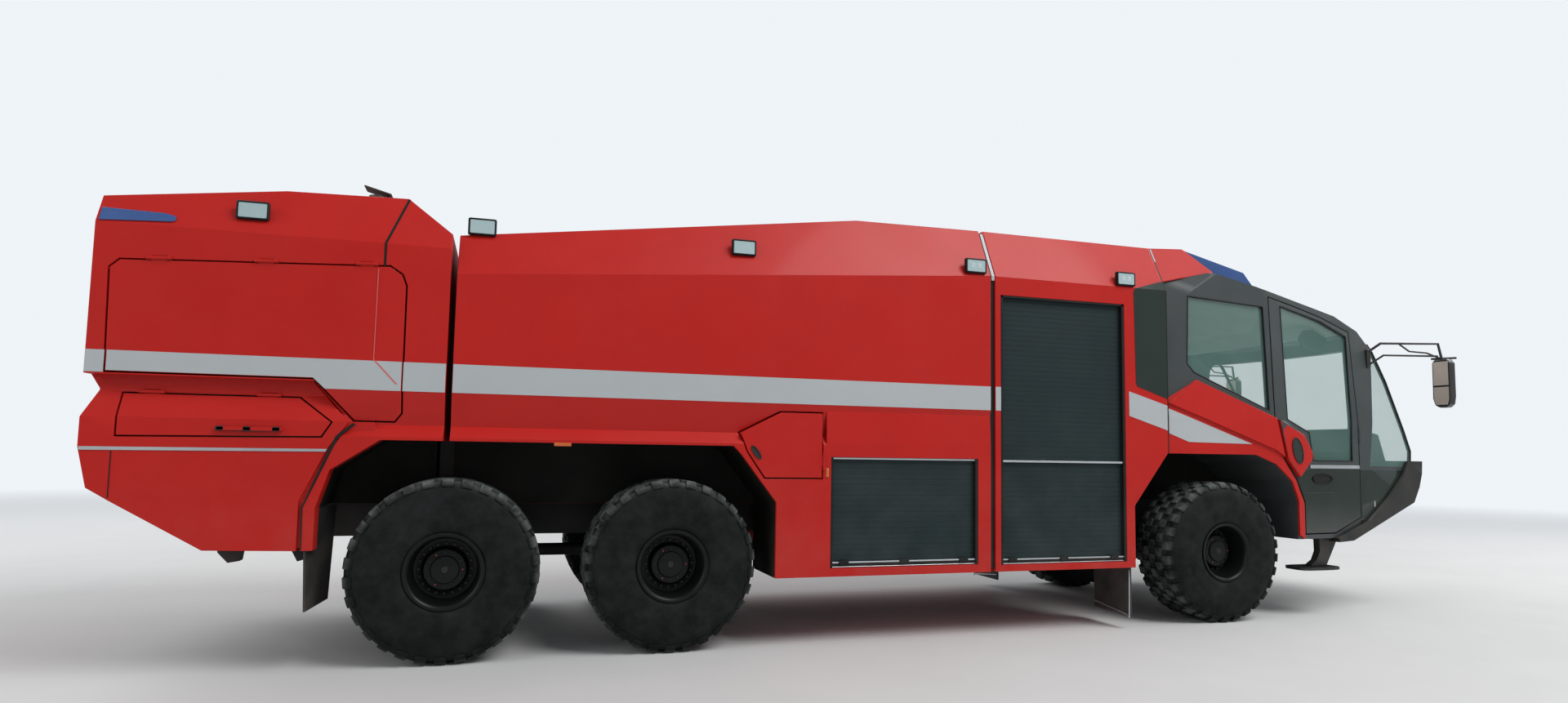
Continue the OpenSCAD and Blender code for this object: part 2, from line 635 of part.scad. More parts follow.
// Slatted curtain with its bottom bar, set back in its opening
module shutter(x0, x1, z0, z1) {
    box(x0, x1, hw - 45, hw - 33, z0, z1);
    slats = floor((z1 - z0) / 75);
    pitch = (z1 - z0) / slats;
    for (i = [0:slats - 1]) box(x0, x1, hw - 34, hw - 29, z0 + i * pitch + 3, z0 + (i + 1) * pitch - 3);
    box(x0, x1, hw - 30, hw - 8, z0, z0 + 50);
}
module shutters() {
    color("#3c474a") both_sides() {
        shutter(axle_mid + low_shutter[0], axle_mid + low_shutter[1], low_shutter[2], low_shutter[3]);
        shutter(x_lock + tall_shutter[0], x_lock + tall_shutter[1], tall_shutter[2], tall_shutter[3]);
    }
}

module arch_liners() {
    x0 = axle_rr - 870;
    y1 = bay_half - seat_gap;
    outer = concat([for (i = [1:3]) arch_rear[i] + [axle_rr, 0]], [[x_gap1 - 80 - seat_gap, lip_z]]);
    inner = [for (p = outer) p + [p[1] < 1600 ? -14 : 0, p[1] < 1600 ? 8 : 14]];
    color("#222222") both_sides() {
        across(concat(outer, [for (i = [len(inner) - 1:-1:0]) inner[i]]), well_in_y, y1);
        across(concat(outer, [[x_gap1 - 80 - seat_gap, rail_top_z]]), well_in_y - 12, well_in_y + over);
        for (x = [x0 + 400, x_gap1 - 400])
            box(x, x + 40, rail_y, well_in_y - 11, rail_top_z - 40, rail_top_z + 30);
        // Inner wall of the front arch, on the rail
        intersection() {
            across(shrink(pts(arch_front, axle_f), seat_gap), rail_y - liner_t, rail_y);
            box(x_cab + 5, axle_f + 1000, 0, hw, rail_top_z + seat_gap, lip_z);
        }
    }
}

module mudflaps() {
    rear_x = axle_rr - 935;
    front_x = axle_f - 1150;
    color("#191919") both_sides() {
        box(rear_x, rear_x + 12, well_in_y + 60, bay_half - seat_gap, 430, 1150);
        box(rear_x, rear_x + 12, well_in_y + 60, hw - 10, 430, 860);
        box(front_x, front_x + 12, well_in_y + 10, hw - 10, 110, skirt_z);
    }
}

module cab_shell() {
    roof_cut = [[x_cab - over, 3340], [x_nose - 30, 3500], [x_nose - 30, 3600], [x_cab - over, 3600]];
    color("#3c3d3f") {
        difference() {
            cab_solid(cab_skin, 0, 0);
            across(roof_cut, -hw, hw);
            // Room, in three parts: over the wheels, before them, and the wells of the doors
            intersection() {
                cab_solid(cab_room, cab_wall_t, 0);
                union() {
                    difference() {
                        box(x_cab + 60, x_nose + 3000, -hw, hw, rear_floor_z, 3440);
                        across([[x_cab, 3275], [x_nose - 30, 3435], [x_nose - 30, 3600], [x_cab, 3600]],
                            -hw, hw);
                    }
                    box(x_nose + 1010, x_nose + 3000, -hw, hw, front_floor_z, 3000);
                    both_sides() box(x_nose + 1090, x_nose + 1900, 900, hw, 900, 1300);
                }
            }
            // Wheel arch, tunnel of the frame, and windscreen
            across(pts(arch_front, axle_f), -hw, hw);
            box(x_cab - over, axle_f + 1310, -rail_y - 10, rail_y + 10, 0, rail_top_z + 15);
            across(pts(windscreen, x_nose), -hw, hw);
            both_sides() {
                across(pts(cab_door, x_nose), cab_hw - 400, hw);
                across(pts(side_window, x_nose), cab_hw - 300, hw);
                at_door_hinge() hinge_pocket(door_spots);
            }
        }
        both_sides() at_door_hinge() hinge_fixed(door_spots, 24);
    }
}

module side_panels() {
    color("#c4241c") both_sides() {
        difference() {
            cab_piece(red_side, cab_hw - 100, hw + over, -25, -seat_gap);
            across(pts(arch_front, axle_f), -hw - over, hw + over);
        }
        cab_piece(wing, cab_hw - 100, hw + over, -cab_inset, -seat_gap);
    }
}

module cab_door(side) {
    color("#3c3d3f") on_side(side) {
        difference() {
            cab_side_piece(shrink(cab_door, door_gap), 0, cab_wall_t);
            across(pts(door_window, x_nose), cab_hw - 400, hw + over);
        }
        cab_piece(wing_tip, cab_hw - 120, hw + over, -cab_inset, 5);
        at_door_hinge() hinge_moving(door_spots, 50);
    }
}
module cab_door_r() { cab_door(-1); }
module cab_door_l() { cab_door(1); }

module door_glass(side) {
    color("#7d9a94") on_side(side) cab_side_piece(shrink(door_window, seat_gap), 20, 20 + glass_t);
}
module door_glass_r() { door_glass(-1); }
module door_glass_l() { door_glass(1); }

module cab_glass() {
    color("#7d9a94") {
        both_sides() cab_side_piece(shrink(side_window, seat_gap), 20, 20 + glass_t);
        cab_piece(shrink(windscreen, seat_gap), -hw, hw, 10, 10 + glass_t);
    }
}

module roof_fairing() {
    color("#c4241c") intersection() {
        along(both([[cab_hw - 60, 3320], [cab_hw - 260, 3740], [cab_hw - 300, 3790]]), x_cab, x_nose + 60);
        across([[x_cab, 3340 + seat_gap], [x_cab, 3730], [x_nose - 220, 3765], [x_nose + 60, 3525],
            [x_nose + 60, 3500 + seat_gap], [x_nose - 30, 3500 + seat_gap]], -hw, hw);
    }
}

module blue_lamps() {
    color("#3a5fa8") both_sides() {
        difference() {
            across(pts([[61, 3400], [61, 3525], [-219, 3765], [600, 3580], [760, 3400]], x_nose),
                430, cab_hw - 290);
            cab_solid(cab_skin, 0, -seat_gap);
        }
        along([[facet_y(x_rear, 3130), 3130], [facet_y(x_rear, 3130) + 15, 3130],
            [facet_y(x_rear, 3190) + 15, 3190], [facet_y(x_rear, 3190), 3190]], x_rear + 20, x_rear + 430);
    }
}

module scene_lamps() {
    color("#e8ecea") both_sides() for (s = lamp_spots) {
        x = axle_mid + s[0];
        back = [for (z = [s[1], s[1] + lamp_h]) [facet_y(x + lamp_w / 2, z) + seat_gap, z]];
        along([[back[0][0] + 30, back[0][1]], [back[0][0] + 30, back[1][1]], back[1], back[0]],
            x - lamp_w / 2, x + lamp_w / 2);
    }
}

module tail_lamps() {
    color("#8c1712") both_sides() box(x_rear + 2, x_rear + 60, 1153, 1387, 1588, 1752);
}

module bumper() {
    edge = [[1480, 700], [1500, 800], [2000, 970], [2350, 1220], [2600, 1450], [2680, 1612], [3400, 1612],
        [3400, 700]];
    color("#26282a") difference() {
        intersection() {
            cab_solid(bumper_skin, -bumper_proud, -bumper_proud);
            across(pts(edge, x_nose), -hw, hw);
        }
        cab_solid(cab_skin, -seat_gap, -seat_gap);
        box(x_nose, x_nose + 1530, -hw, hw, 0, 795);
        both_sides() box(x_nose + 2700, x_nose + 3400, 700, 1100, 1250, 1430);
    }
}

module head_lamps() {
    color("#dfe6ea") both_sides() difference() {
        intersection() {
            box(x_nose + 2700, x_nose + 3400, 703, 1097, 1253, 1427);
            cab_solid(bumper_skin, -bumper_proud, -bumper_proud);
        }
        cab_solid(cab_skin, -seat_gap, -seat_gap);
    }
}

module at_steering_wheel() {
    translate([x_nose + 1990, 0, 2010]) rotate([0, -42, 0]) children();
}

module dash() {
    color("#2b2d2f") {
        across(pts([[2080, 1700], [2160, 1960], [2440, 1900], [2540, 1600], [2200, 1560]], x_nose),
            -1150, 1150);
        across(pts([[2200, 1230], [2200, 1570], [2480, 1600], [2380, 1230]], x_nose), -1000, 1000);
        box(x_nose + 2180, x_nose + 2380, -300, 300, front_floor_z, 1240);
        // Steering column
        at_steering_wheel() translate([0, 0, -290]) cylinder(r = 28, h = 290 - seat_gap);
    }
}

module steering_wheel() {
    color("#1b1b1c") at_steering_wheel() {
        rotate_extrude() translate([210, 0]) circle(r = 15, $fn = 16);
        cylinder(r = 55, h = 30);
        for (a = [90, 210, 330]) rotate([0, 0, a]) translate([40, -15, 0]) cube([165, 30, 12]);
    }
}

// Seat with its box, cushion, back and head rest
module seat() {
    box(-230, 230, -200, 200, 0, 330);
    box(-260, 260, -260, 260, 330, 450);
    across([[-260, 430], [-370, 1080], [-260, 1080], [-130, 430]], -240, 240);
    across([[-375, 1110], [-395, 1290], [-290, 1290], [-270, 1110]], -140, 140);
    for (y = [-80, 80]) strut([-330, y, 1070], [-335, y, 1120], 12);
}
module seats() {
    color("#2d2f33") for (s = seat_spots) translate(s) seat();
}

module mirrors() {
    head = [2920, 3050, 1400, 1620, 2200, 2740];
    color("#2a2a2c") both_sides() difference() {
        translate([x_nose, 0, 0]) {
            bent_tube([[2190, 1240, 2780], [2290, 1400, 2895], [2900, 1495, 2880], [2970, 1505, 2650]], 17);
            bent_tube([[2210, 1250, 2620], [2290, 1390, 2700], [2960, 1490, 2690]], 13);
            box(head[0], head[1], head[2], head[3], head[4], head[5]);
        }
        cab_solid(cab_skin, -seat_gap, -seat_gap);
    }
}

// Hanging entry step on two struts
module steps() {
    top = [x_nose + 1310, 795];
    plate = [x_nose + 1000, x_nose + 1490, 470, 500];
    color("#232425") both_sides() {
        for (y = [1150, 1330]) across([[top[0] - 50, top[1]], [top[0] + 50, top[1]],
            [plate[0] + 150, plate[3] - over], [plate[0] + 30, plate[3] - over]], y, y + 24);
        box(plate[0], plate[1], 1100, 1400, plate[2], plate[3]);
    }
}

// Roof turret: a post, a head that turns on it, and a barrel in the head's fork
turret_x = x_nose + 480;
turret_top_z = 3740;
barrel_z = turret_top_z + 160;
fork_y = 75;
module turret_base() {
    color("#c4241c") difference() {
        union() {
            translate([turret_x, 0, 3440]) cylinder(r = 170, h = 120);
            translate([turret_x, 0, 3440]) cylinder(r = 110, h = turret_top_z - 3440);
        }
        cab_solid(cab_skin, 0, -seat_gap);
    }
}
module turret_head() {
    color("#c4241c") translate([turret_x, 0, turret_top_z + seat_gap]) {
        cylinder(r = 120, h = 60);
        for (y = [-fork_y - 20, fork_y]) translate([-60, y, 50]) cube([120, 20, barrel_z - turret_top_z]);
    }
}
module turret_barrel() {
    color("#b7babd") translate([turret_x, 0, barrel_z]) {
        tube_y(0, 0, 20, -fork_y + seat_gap, fork_y - seat_gap);
        translate([-80, 0, 0]) rotate([0, 90, 0]) difference() {
            cylinder(r = 55, h = 620);
            translate([0, 0, 300]) cylinder(r = 42, h = 400);
        }
    }
}

frame();
rear_axles();
front_axle();
knuckle_r();
knuckle_l();
tyre_rr();
tyre_rl();
tyre_mr();
tyre_ml();
tyre_fr();
tyre_fl();
rim_rr();
rim_rl();
rim_mr();
rim_ml();
rim_fr();
rim_fl();
driveline();
engine();
rear_body();
upper_flap_r();
upper_flap_l();
lower_flap_r();
lower_flap_l();
rear_grille();
exhaust();
tank_body();
pump_door_r();
pump_door_l();
locker_body();
shutters();
arch_liners();
mudflaps();
cab_shell();
side_panels();
cab_door_r();
cab_door_l();
door_glass_r();
door_glass_l();
cab_glass();
roof_fairing();
blue_lamps();
scene_lamps();
tail_lamps();
bumper();
head_lamps();
dash();
steering_wheel();
seats();
mirrors();
steps();
turret_base();
turret_head();
turret_barrel();
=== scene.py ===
"""Looks of a six-wheel airport fire truck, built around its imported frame.

Every length is in metres in the frame's own axes: +X forward, +Y to the left, +Z up, and the
ground at zero. Each sub-assembly is a class that models its own pieces and gives them a finish.
"""
from __future__ import annotations

import json
import logging
import math
import sys
from collections.abc import Callable, Iterable, Sequence
from dataclasses import dataclass, field
from enum import Enum

import bmesh
import bpy
from mathutils import Matrix, Vector

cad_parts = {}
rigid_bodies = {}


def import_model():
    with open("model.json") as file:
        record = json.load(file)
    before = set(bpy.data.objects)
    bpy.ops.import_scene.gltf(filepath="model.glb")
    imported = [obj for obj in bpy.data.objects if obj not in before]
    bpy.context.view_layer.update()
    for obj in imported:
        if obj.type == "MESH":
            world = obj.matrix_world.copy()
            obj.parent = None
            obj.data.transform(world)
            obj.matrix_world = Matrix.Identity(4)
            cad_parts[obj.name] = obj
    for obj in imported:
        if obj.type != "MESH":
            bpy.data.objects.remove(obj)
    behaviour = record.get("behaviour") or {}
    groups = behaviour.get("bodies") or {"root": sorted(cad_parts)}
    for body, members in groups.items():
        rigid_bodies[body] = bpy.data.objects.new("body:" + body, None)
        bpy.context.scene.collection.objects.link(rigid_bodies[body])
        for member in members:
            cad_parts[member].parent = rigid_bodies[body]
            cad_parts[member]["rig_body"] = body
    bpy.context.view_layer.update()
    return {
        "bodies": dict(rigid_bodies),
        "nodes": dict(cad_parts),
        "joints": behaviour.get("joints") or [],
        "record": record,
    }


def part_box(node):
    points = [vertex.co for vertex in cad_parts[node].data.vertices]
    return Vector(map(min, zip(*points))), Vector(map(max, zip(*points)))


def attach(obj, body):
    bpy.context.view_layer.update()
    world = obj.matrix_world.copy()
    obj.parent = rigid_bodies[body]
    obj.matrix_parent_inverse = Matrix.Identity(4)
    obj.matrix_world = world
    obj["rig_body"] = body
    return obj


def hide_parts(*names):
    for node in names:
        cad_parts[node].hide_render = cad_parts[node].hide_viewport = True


LOG = logging.getLogger("fire_truck")
PHOTO_WIDTH = 1920

# Softened CAD copies: doubles closer than this merge, and flatter or blunter edges than these stay
# as they are, in degrees. An edge needs this many bevel widths of room round it.
MERGE_GAP = 2e-5
FLAT_ANGLE = 0.6
SHARP_ANGLE = 12
EDGE_ROOM = 2.5

# Cushions: the size of the cloth's grid, its pressure and how many frames it runs for
CLOTH_VOXEL = 0.010
CLOTH_PRESSURE = 4.0
CLOTH_FRAMES = 20

Point2 = tuple[float, float]
Point3 = tuple[float, float, float]
Obj = bpy.types.Object
SIDES = (-1, 1)
SIDE_NAMES = {-1: "r", 1: "l"}


class Across(Enum):
    """The axis that an outline is drawn out along."""

    X = 0
    Y = 1
    Z = 2


class Sheen(Enum):
    """What kind of surface a finish has."""

    PAINT = "paint"
    PLAIN = "plain"
    RUBBER = "rubber"
    METAL = "metal"
    GLASS = "glass"
    CLOTH = "cloth"


# Bench work: the steps of modelling by hand


def clear() -> None:
    """Leaves edit mode and deselects everything."""
    if bpy.context.object is not None and bpy.context.object.mode != "OBJECT":
        bpy.ops.object.mode_set(mode="OBJECT")
    bpy.ops.object.select_all(action="DESELECT")


def only(*objs: Obj) -> None:
    """Selects these objects and nothing else, the first one active."""
    clear()
    for obj in objs:
        obj.select_set(True)
    bpy.context.view_layer.objects.active = objs[0]


def settle(obj: Obj) -> Obj:
    """Puts an object's place, turn and size into its mesh."""
    only(obj)
    bpy.ops.object.transform_apply(location=True, rotation=True, scale=True)
    return obj


def with_modifier(obj: Obj, kind: str, **settings: object) -> Obj:
    """Adds a modifier and applies it.

    Args:
        obj: the piece.
        kind: the modifier's type.
        settings: its properties.

    Returns:
        The same piece.
    """
    only(obj)
    modifier = obj.modifiers.new(kind.lower(), kind)
    for name, value in settings.items():
        setattr(modifier, name, value)
    bpy.ops.object.modifier_apply(modifier=modifier.name)
    return obj


def edges_rounded(obj: Obj, width: float, segments: int = 2, angle: float = 40) -> Obj:
    """Rounds each edge that is sharper than an angle in degrees."""
    return with_modifier(obj, "BEVEL", width=width, segments=segments, limit_method="ANGLE",
                         angle_limit=math.radians(angle))


def mesh_op(obj: Obj, *steps: Callable[[], object]) -> Obj:
    """Runs edit-mode steps on a whole piece, all of it selected."""
    only(obj)
    bpy.ops.object.mode_set(mode="EDIT")
    bpy.ops.mesh.select_all(action="SELECT")
    for step in steps:
        step()
    bpy.ops.object.mode_set(mode="OBJECT")
    return obj


def outward(obj: Obj) -> Obj:
    """Merges a piece's doubles and turns its faces outwards."""
    return mesh_op(obj, lambda: bpy.ops.mesh.remove_doubles(threshold=1e-5),
                   lambda: bpy.ops.mesh.normals_make_consistent(inside=False))


def pick_faces(obj: Obj, rule: Callable[[bmesh.types.BMFace], bool]) -> None:
    """Enters edit mode with only the faces that a rule picks selected."""
    only(obj)
    bpy.ops.object.mode_set(mode="EDIT")
    bpy.ops.mesh.select_mode(type="FACE")
    bpy.ops.mesh.select_all(action="DESELECT")
    shape = bmesh.from_edit_mesh(obj.data)
    for face in shape.faces:
        face.select_set(rule(face))
    bmesh.update_edit_mesh(obj.data)


def facing(direction: Point3, share: float = 0.95) -> Callable[[bmesh.types.BMFace], bool]:
    """A rule for faces that look along a direction."""
    aim = Vector(direction).normalized()
    return lambda face: face.normal.dot(aim) > share


def dished(obj: Obj, direction: Point3, rim: float, depth: float) -> Obj:
    """Insets the faces that look along a direction, and sinks what they enclose.

    Args:
        obj: the piece.
        direction: where those faces look.
        rim: the width left round them.
        depth: how far they sink, or rise if it is below zero.

    Returns:
        The same piece.
    """
    pick_faces(obj, facing(direction))
    bpy.ops.mesh.inset(thickness=rim, depth=0)
    move = tuple(-depth * c for c in Vector(direction).normalized())
    bpy.ops.mesh.extrude_region_move(TRANSFORM_OT_translate={"value": move})
    bpy.ops.object.mode_set(mode="OBJECT")
    return obj


def block(name: str, low: Point3, high: Point3, bevel: float = 0.0, segments: int = 2) -> Obj:
    """A box between two corners, its edges rounded.

    Args:
        name: the piece's name.
        low: its lowest corner.
        high: its highest corner.
        bevel: the radius of its edges.
        segments: facets across each rounded edge.

    Returns:
        The piece, its place in its mesh.
    """
    clear()
    middle = [(a + b) / 2 for a, b in zip(low, high)]
    bpy.ops.mesh.primitive_cube_add(size=1, location=middle)
    obj = bpy.context.object
    obj.name = name
    obj.scale = [abs(b - a) for a, b in zip(low, high)]
    settle(obj)
    if bevel:
        edges_rounded(obj, bevel, segments)
    return obj


def rod(name: str, start: Point3, end: Point3, radius: float, sides: int,
        bevel: float = 0.0) -> Obj:
    """A round bar from one point to another."""
    clear()
    line = Vector(end) - Vector(start)
    bpy.ops.mesh.primitive_cylinder_add(vertices=sides, radius=radius, depth=line.length,
                                        location=(Vector(start) + Vector(end)) / 2)
    obj = bpy.context.object
    obj.name = name
    obj.rotation_mode = "QUATERNION"
    obj.rotation_quaternion = line.to_track_quat("Z", "Y")
    settle(obj)
    if bevel:
        edges_rounded(obj, bevel)
    return obj


def flat(name: str, points: Sequence[Point3]) -> Obj:
    """A face with one corner at each point."""
    clear()
    bpy.ops.mesh.primitive_circle_add(vertices=len(points), fill_type="NGON")
    obj = bpy.context.object
    obj.name = name
    for vertex, point in zip(obj.data.vertices, points):
        vertex.co = point
    obj.data.update()
    return obj


def drawn(name: str, outline: Sequence[Point2], low: float, high: float, across: Across = Across.Y,
          bevel: float = 0.0) -> Obj:
    """An outline drawn out along one axis.

    Args:
        name: the piece's name.
        outline: its corners, in the other two axes.
        low: where it starts along the axis.
        high: where it ends.
        across: the axis.
        bevel: the radius of its edges.

    Returns:
        The closed piece.
    """
    def place(p: Point2) -> Point3:
        """A corner's place at the start."""
        corner = list(p)
        corner.insert(across.value, low)
        return tuple(corner)

    obj = flat(name, [place(p) for p in outline])
    move = [0.0, 0.0, 0.0]
    move[across.value] = high - low
    mesh_op(obj, lambda: bpy.ops.mesh.extrude_region_move(TRANSFORM_OT_translate={"value": move}),
            lambda: bpy.ops.mesh.select_all(action="SELECT"),
            lambda: bpy.ops.mesh.normals_make_consistent(inside=False))
    if bevel:
        edges_rounded(obj, bevel)
    return obj


def turned(name: str, profile: Sequence[Point2], steps: int) -> Obj:
    """A closed profile of (radius, y) turned about the Y axis."""
    obj = flat(name, [(radius, y, 0.0) for radius, y in profile])
    only(obj)
    bpy.ops.object.mode_set(mode="EDIT")
    bpy.ops.mesh.select_all(action="SELECT")
    bpy.ops.mesh.delete(type="ONLY_FACE")
    bpy.ops.mesh.select_all(action="SELECT")
    bpy.ops.mesh.spin(steps=steps, angle=math.tau, center=(0, 0, 0), axis=(0, 1, 0))
    bpy.ops.object.mode_set(mode="OBJECT")
    return outward(obj)


def tube(name: str, points: Sequence[Point3], radius: float, smooth: bool = False) -> Obj:
    """A round tube along points, straight between them or as one smooth line."""
    clear()
    curve = bpy.data.curves.new(name, "CURVE")
    curve.dimensions = "3D"
    curve.bevel_depth = radius
    curve.bevel_resolution = 3
    curve.resolution_u = 8
    curve.use_fill_caps = True
    if smooth:
        line = curve.splines.new("NURBS")
        line.points.add(len(points) - 1)
        line.use_endpoint_u = True
        line.order_u = 3
    else:
        line = curve.splines.new("POLY")
        line.points.add(len(points) - 1)
    for knot, point in zip(line.points, points):
        knot.co = (*point, 1.0)
    obj = bpy.data.objects.new(name, curve)
    bpy.context.scene.collection.objects.link(obj)
    only(obj)
    bpy.ops.object.convert(target="MESH")
    return bpy.context.object


def duplicated(obj: Obj, name: str | None = None) -> Obj:
    """A copy with its own mesh, in the same place."""
    only(obj)
    bpy.ops.object.duplicate(linked=False)
    twin = bpy.context.object
    twin.name = name or obj.name
    return twin


def copied(obj: Obj, move: Point3, name: str) -> Obj:
    """A copy with its own mesh, moved."""
    twin = duplicated(obj, name)
    twin.location = Vector(twin.location) + Vector(move)
    return settle(twin)


def turned_copy(obj: Obj, degrees: float) -> Obj:
    """A copy with its own mesh, turned about the Y axis."""
    twin = duplicated(obj)
    twin.matrix_world = Matrix.Rotation(math.radians(degrees), 4, "Y")
    return settle(twin)


def mirrored(obj: Obj, name: str | None = None) -> Obj:
    """A copy on the other side of the vehicle, its faces outwards as the first one's are."""
    twin = duplicated(obj, name)
    before = obj.data.polygons[0].normal.copy()
    twin.scale = (1, -1, 1)
    settle(twin)
    if twin.data.polygons[0].normal.dot(Vector((before.x, -before.y, before.z))) < 0:
        mesh_op(twin, bpy.ops.mesh.flip_normals)
    return twin


def sent_across(obj: Obj) -> Obj:
    """The piece taken to the other side of the vehicle under its own name."""
    name = obj.name
    twin = mirrored(obj)
    bpy.data.objects.remove(obj)
    twin.name = name
    return twin


def joined(name: str, objs: Iterable[Obj]) -> Obj:
    """Several pieces made into one."""
    parts = list(objs)
    only(*parts)
    if len(parts) > 1:
        bpy.ops.object.join()
    obj = bpy.context.object
    obj.name = name
    return obj


def round_about(obj: Obj, count: int) -> Obj:
    """Repeats a piece round the Y axis."""
    clear()
    bpy.ops.object.empty_add(location=(0, 0, 0))
    turner = bpy.context.object
    turner.rotation_euler = (0, math.tau / count, 0)
    bpy.context.view_layer.update()
    with_modifier(obj, "ARRAY", count=count, use_relative_offset=False, use_object_offset=True,
                  offset_object=turner)
    bpy.data.objects.remove(turner)
    return obj


def in_row(obj: Obj, count: int, step: Point3) -> Obj:
    """Repeats a piece in a straight row."""
    return with_modifier(obj, "ARRAY", count=count, use_relative_offset=False, use_constant_offset=True,
                         constant_offset_displace=step)


# Finishes

@dataclass
class Sketch:
    """Adds nodes to a tree and joins them."""

    tree: bpy.types.NodeTree

    def add(self, kind: str, props: dict[str, object] | None = None, **inputs: object) -> bpy.types.Node:
        """Adds a node.

        Args:
            kind: the node's type.
            props: its properties.
            inputs: values or sockets for its inputs, with _ for a space. in0 is the first input.

        Returns:
            The node.
        """
        node = self.tree.nodes.new(kind)
        for name, value in (props or {}).items():
            setattr(node, name, value)
        for name, value in inputs.items():
            socket = node.inputs[int(name[2:])] if name[:2] == "in" and name[2:].isdigit() \
                else node.inputs[name.replace("_", " ")]
            if isinstance(value, bpy.types.NodeSocket):
                self.tree.links.new(value, socket)
            else:
                socket.default_value = value
        return node

    def math(self, operation: str, a: object, b: object = 0.0, clamp: bool = False) -> bpy.types.NodeSocket:
        """The result of one sum."""
        return self.add("ShaderNodeMath", {"operation": operation, "use_clamp": clamp}, in0=a,
                        in1=b).outputs[0]

    def ramp(self, value: object, low: object, high: object, to_low: object = 0.0,
             to_high: object = 1.0) -> bpy.types.NodeSocket:
        """A value carried from one range to another and held there."""
        return self.add("ShaderNodeMapRange", None, Value=value, From_Min=low, From_Max=high, To_Min=to_low,
                        To_Max=to_high).outputs[0]

    def noise(self, at: object, scale: object, detail: float = 2.0,
              rough: float = 0.5) -> bpy.types.NodeSocket:
        """A noise value at a place."""
        return self.add("ShaderNodeTexNoise", None, Vector=at, Scale=scale, Detail=detail,
                        Roughness=rough).outputs[0]

    def mix(self, share: object, a: object, b: object) -> bpy.types.NodeSocket:
        """Two colours mixed."""
        node = self.tree.nodes.new("ShaderNodeMix")
        node.data_type = "RGBA"
        for index, value in ((0, share), (6, a), (7, b)):
            if isinstance(value, bpy.types.NodeSocket):
                self.tree.links.new(value, node.inputs[index])
            else:
                node.inputs[index].default_value = value
        return node.outputs[2]


def new_group(name: str, ins: dict[str, float], outs: Sequence[str]) -> tuple[Sketch, dict, bpy.types.Node]:
    """An empty shader group with number inputs and outputs.

    Args:
        name: the group's name.
        ins: each input's name and usual value.
        outs: the outputs' names.

    Returns:
        The sketch of its tree, its input sockets by name, and its output node.
    """
    tree = bpy.data.node_groups.new(name, "ShaderNodeTree")
    for label, value in ins.items():
        tree.interface.new_socket(label, in_out="INPUT",
                                  socket_type="NodeSocketFloat").default_value = value
    for label in outs:
        tree.interface.new_socket(label, in_out="OUTPUT", socket_type="NodeSocketFloat")
    entry = tree.nodes.new("NodeGroupInput")
    leave = tree.nodes.new("NodeGroupOutput")
    return Sketch(tree), {label: entry.outputs[label] for label in ins}, leave


class Effects:
    """The shader groups that several finishes share."""

    def __init__(self) -> None:
        """Builds each group once."""
        self.dust = self._dust()
        self.grain = self._grain()
        self.ring_dust_and_highlight = self._ring_dust_and_highlight()

    @staticmethod
    def _dust() -> bpy.types.NodeTree:
        """Road dust that thins out with height and lies in soft patches."""
        sketch, given, leave = new_group("road_dust", {"Amount": 0.3, "Top": 1.6, "Scale": 3.0}, ["Mask"])
        place = sketch.add("ShaderNodeTexCoord").outputs["Object"]
        height = sketch.add("ShaderNodeSeparateXYZ", None, Vector=place).outputs["Z"]
        low_down = sketch.ramp(height, 0.3, given["Top"], 1.0, 0.12)
        cloudy = sketch.ramp(sketch.noise(place, given["Scale"], 6.0, 0.62), 0.38, 0.72)
        mask = sketch.math("MULTIPLY", sketch.math("MULTIPLY", cloudy, low_down), given["Amount"],
                           clamp=True)
        sketch.tree.links.new(mask, leave.inputs["Mask"])
        return sketch.tree

    @staticmethod
    def _grain() -> bpy.types.NodeTree:
        """Uneven gloss and a fine height, each from its own noise."""
        sketch, given, leave = new_group("grain", {"Low": 0.3, "High": 0.4, "Scale": 40.0},
                                         ["Roughness", "Height"])
        place = sketch.add("ShaderNodeTexCoord").outputs["Object"]
        broad = sketch.noise(place, 1.7, 4.0)
        rough = sketch.ramp(broad, 0.3, 0.7, given["Low"], given["High"])
        fine = sketch.noise(place, given["Scale"])
        sketch.tree.links.new(rough, leave.inputs["Roughness"])
        sketch.tree.links.new(fine, leave.inputs["Height"])
        return sketch.tree

    @staticmethod
    def _ring_dust_and_highlight() -> bpy.types.NodeTree:
        """Dust on a wheel, by the distance from its axle. Its pale grey is strongest on the tread band,
        where it is also a painted highlight on the lugs.
        """
        sketch, given, leave = new_group("ring_dust_and_highlight", {"Axle X": 0.0, "Axle Z": 0.67, "Amount": 0.4},
                                         ["Mask"])
        place = sketch.add("ShaderNodeTexCoord").outputs["Object"]
        apart = sketch.add("ShaderNodeSeparateXYZ", None, Vector=place)
        across = sketch.math("SUBTRACT", apart.outputs["X"], given["Axle X"])
        up = sketch.math("SUBTRACT", apart.outputs["Z"], given["Axle Z"])
        radius = sketch.math("SQRT", sketch.math("ADD", sketch.math("MULTIPLY", across, across),
                                                 sketch.math("MULTIPLY", up, up)))
        # Most on the tread band: real dust there, and a painted highlight on the lugs.
        outer = sketch.ramp(radius, 0.64, 0.685, 0.08, 1.0)
        cloudy = sketch.ramp(sketch.noise(place, 7.0, 6.0, 0.65), 0.35, 0.7)
        mask = sketch.math("MULTIPLY", sketch.math("MULTIPLY", outer, cloudy), given["Amount"], clamp=True)
        sketch.tree.links.new(mask, leave.inputs["Mask"])
        return sketch.tree


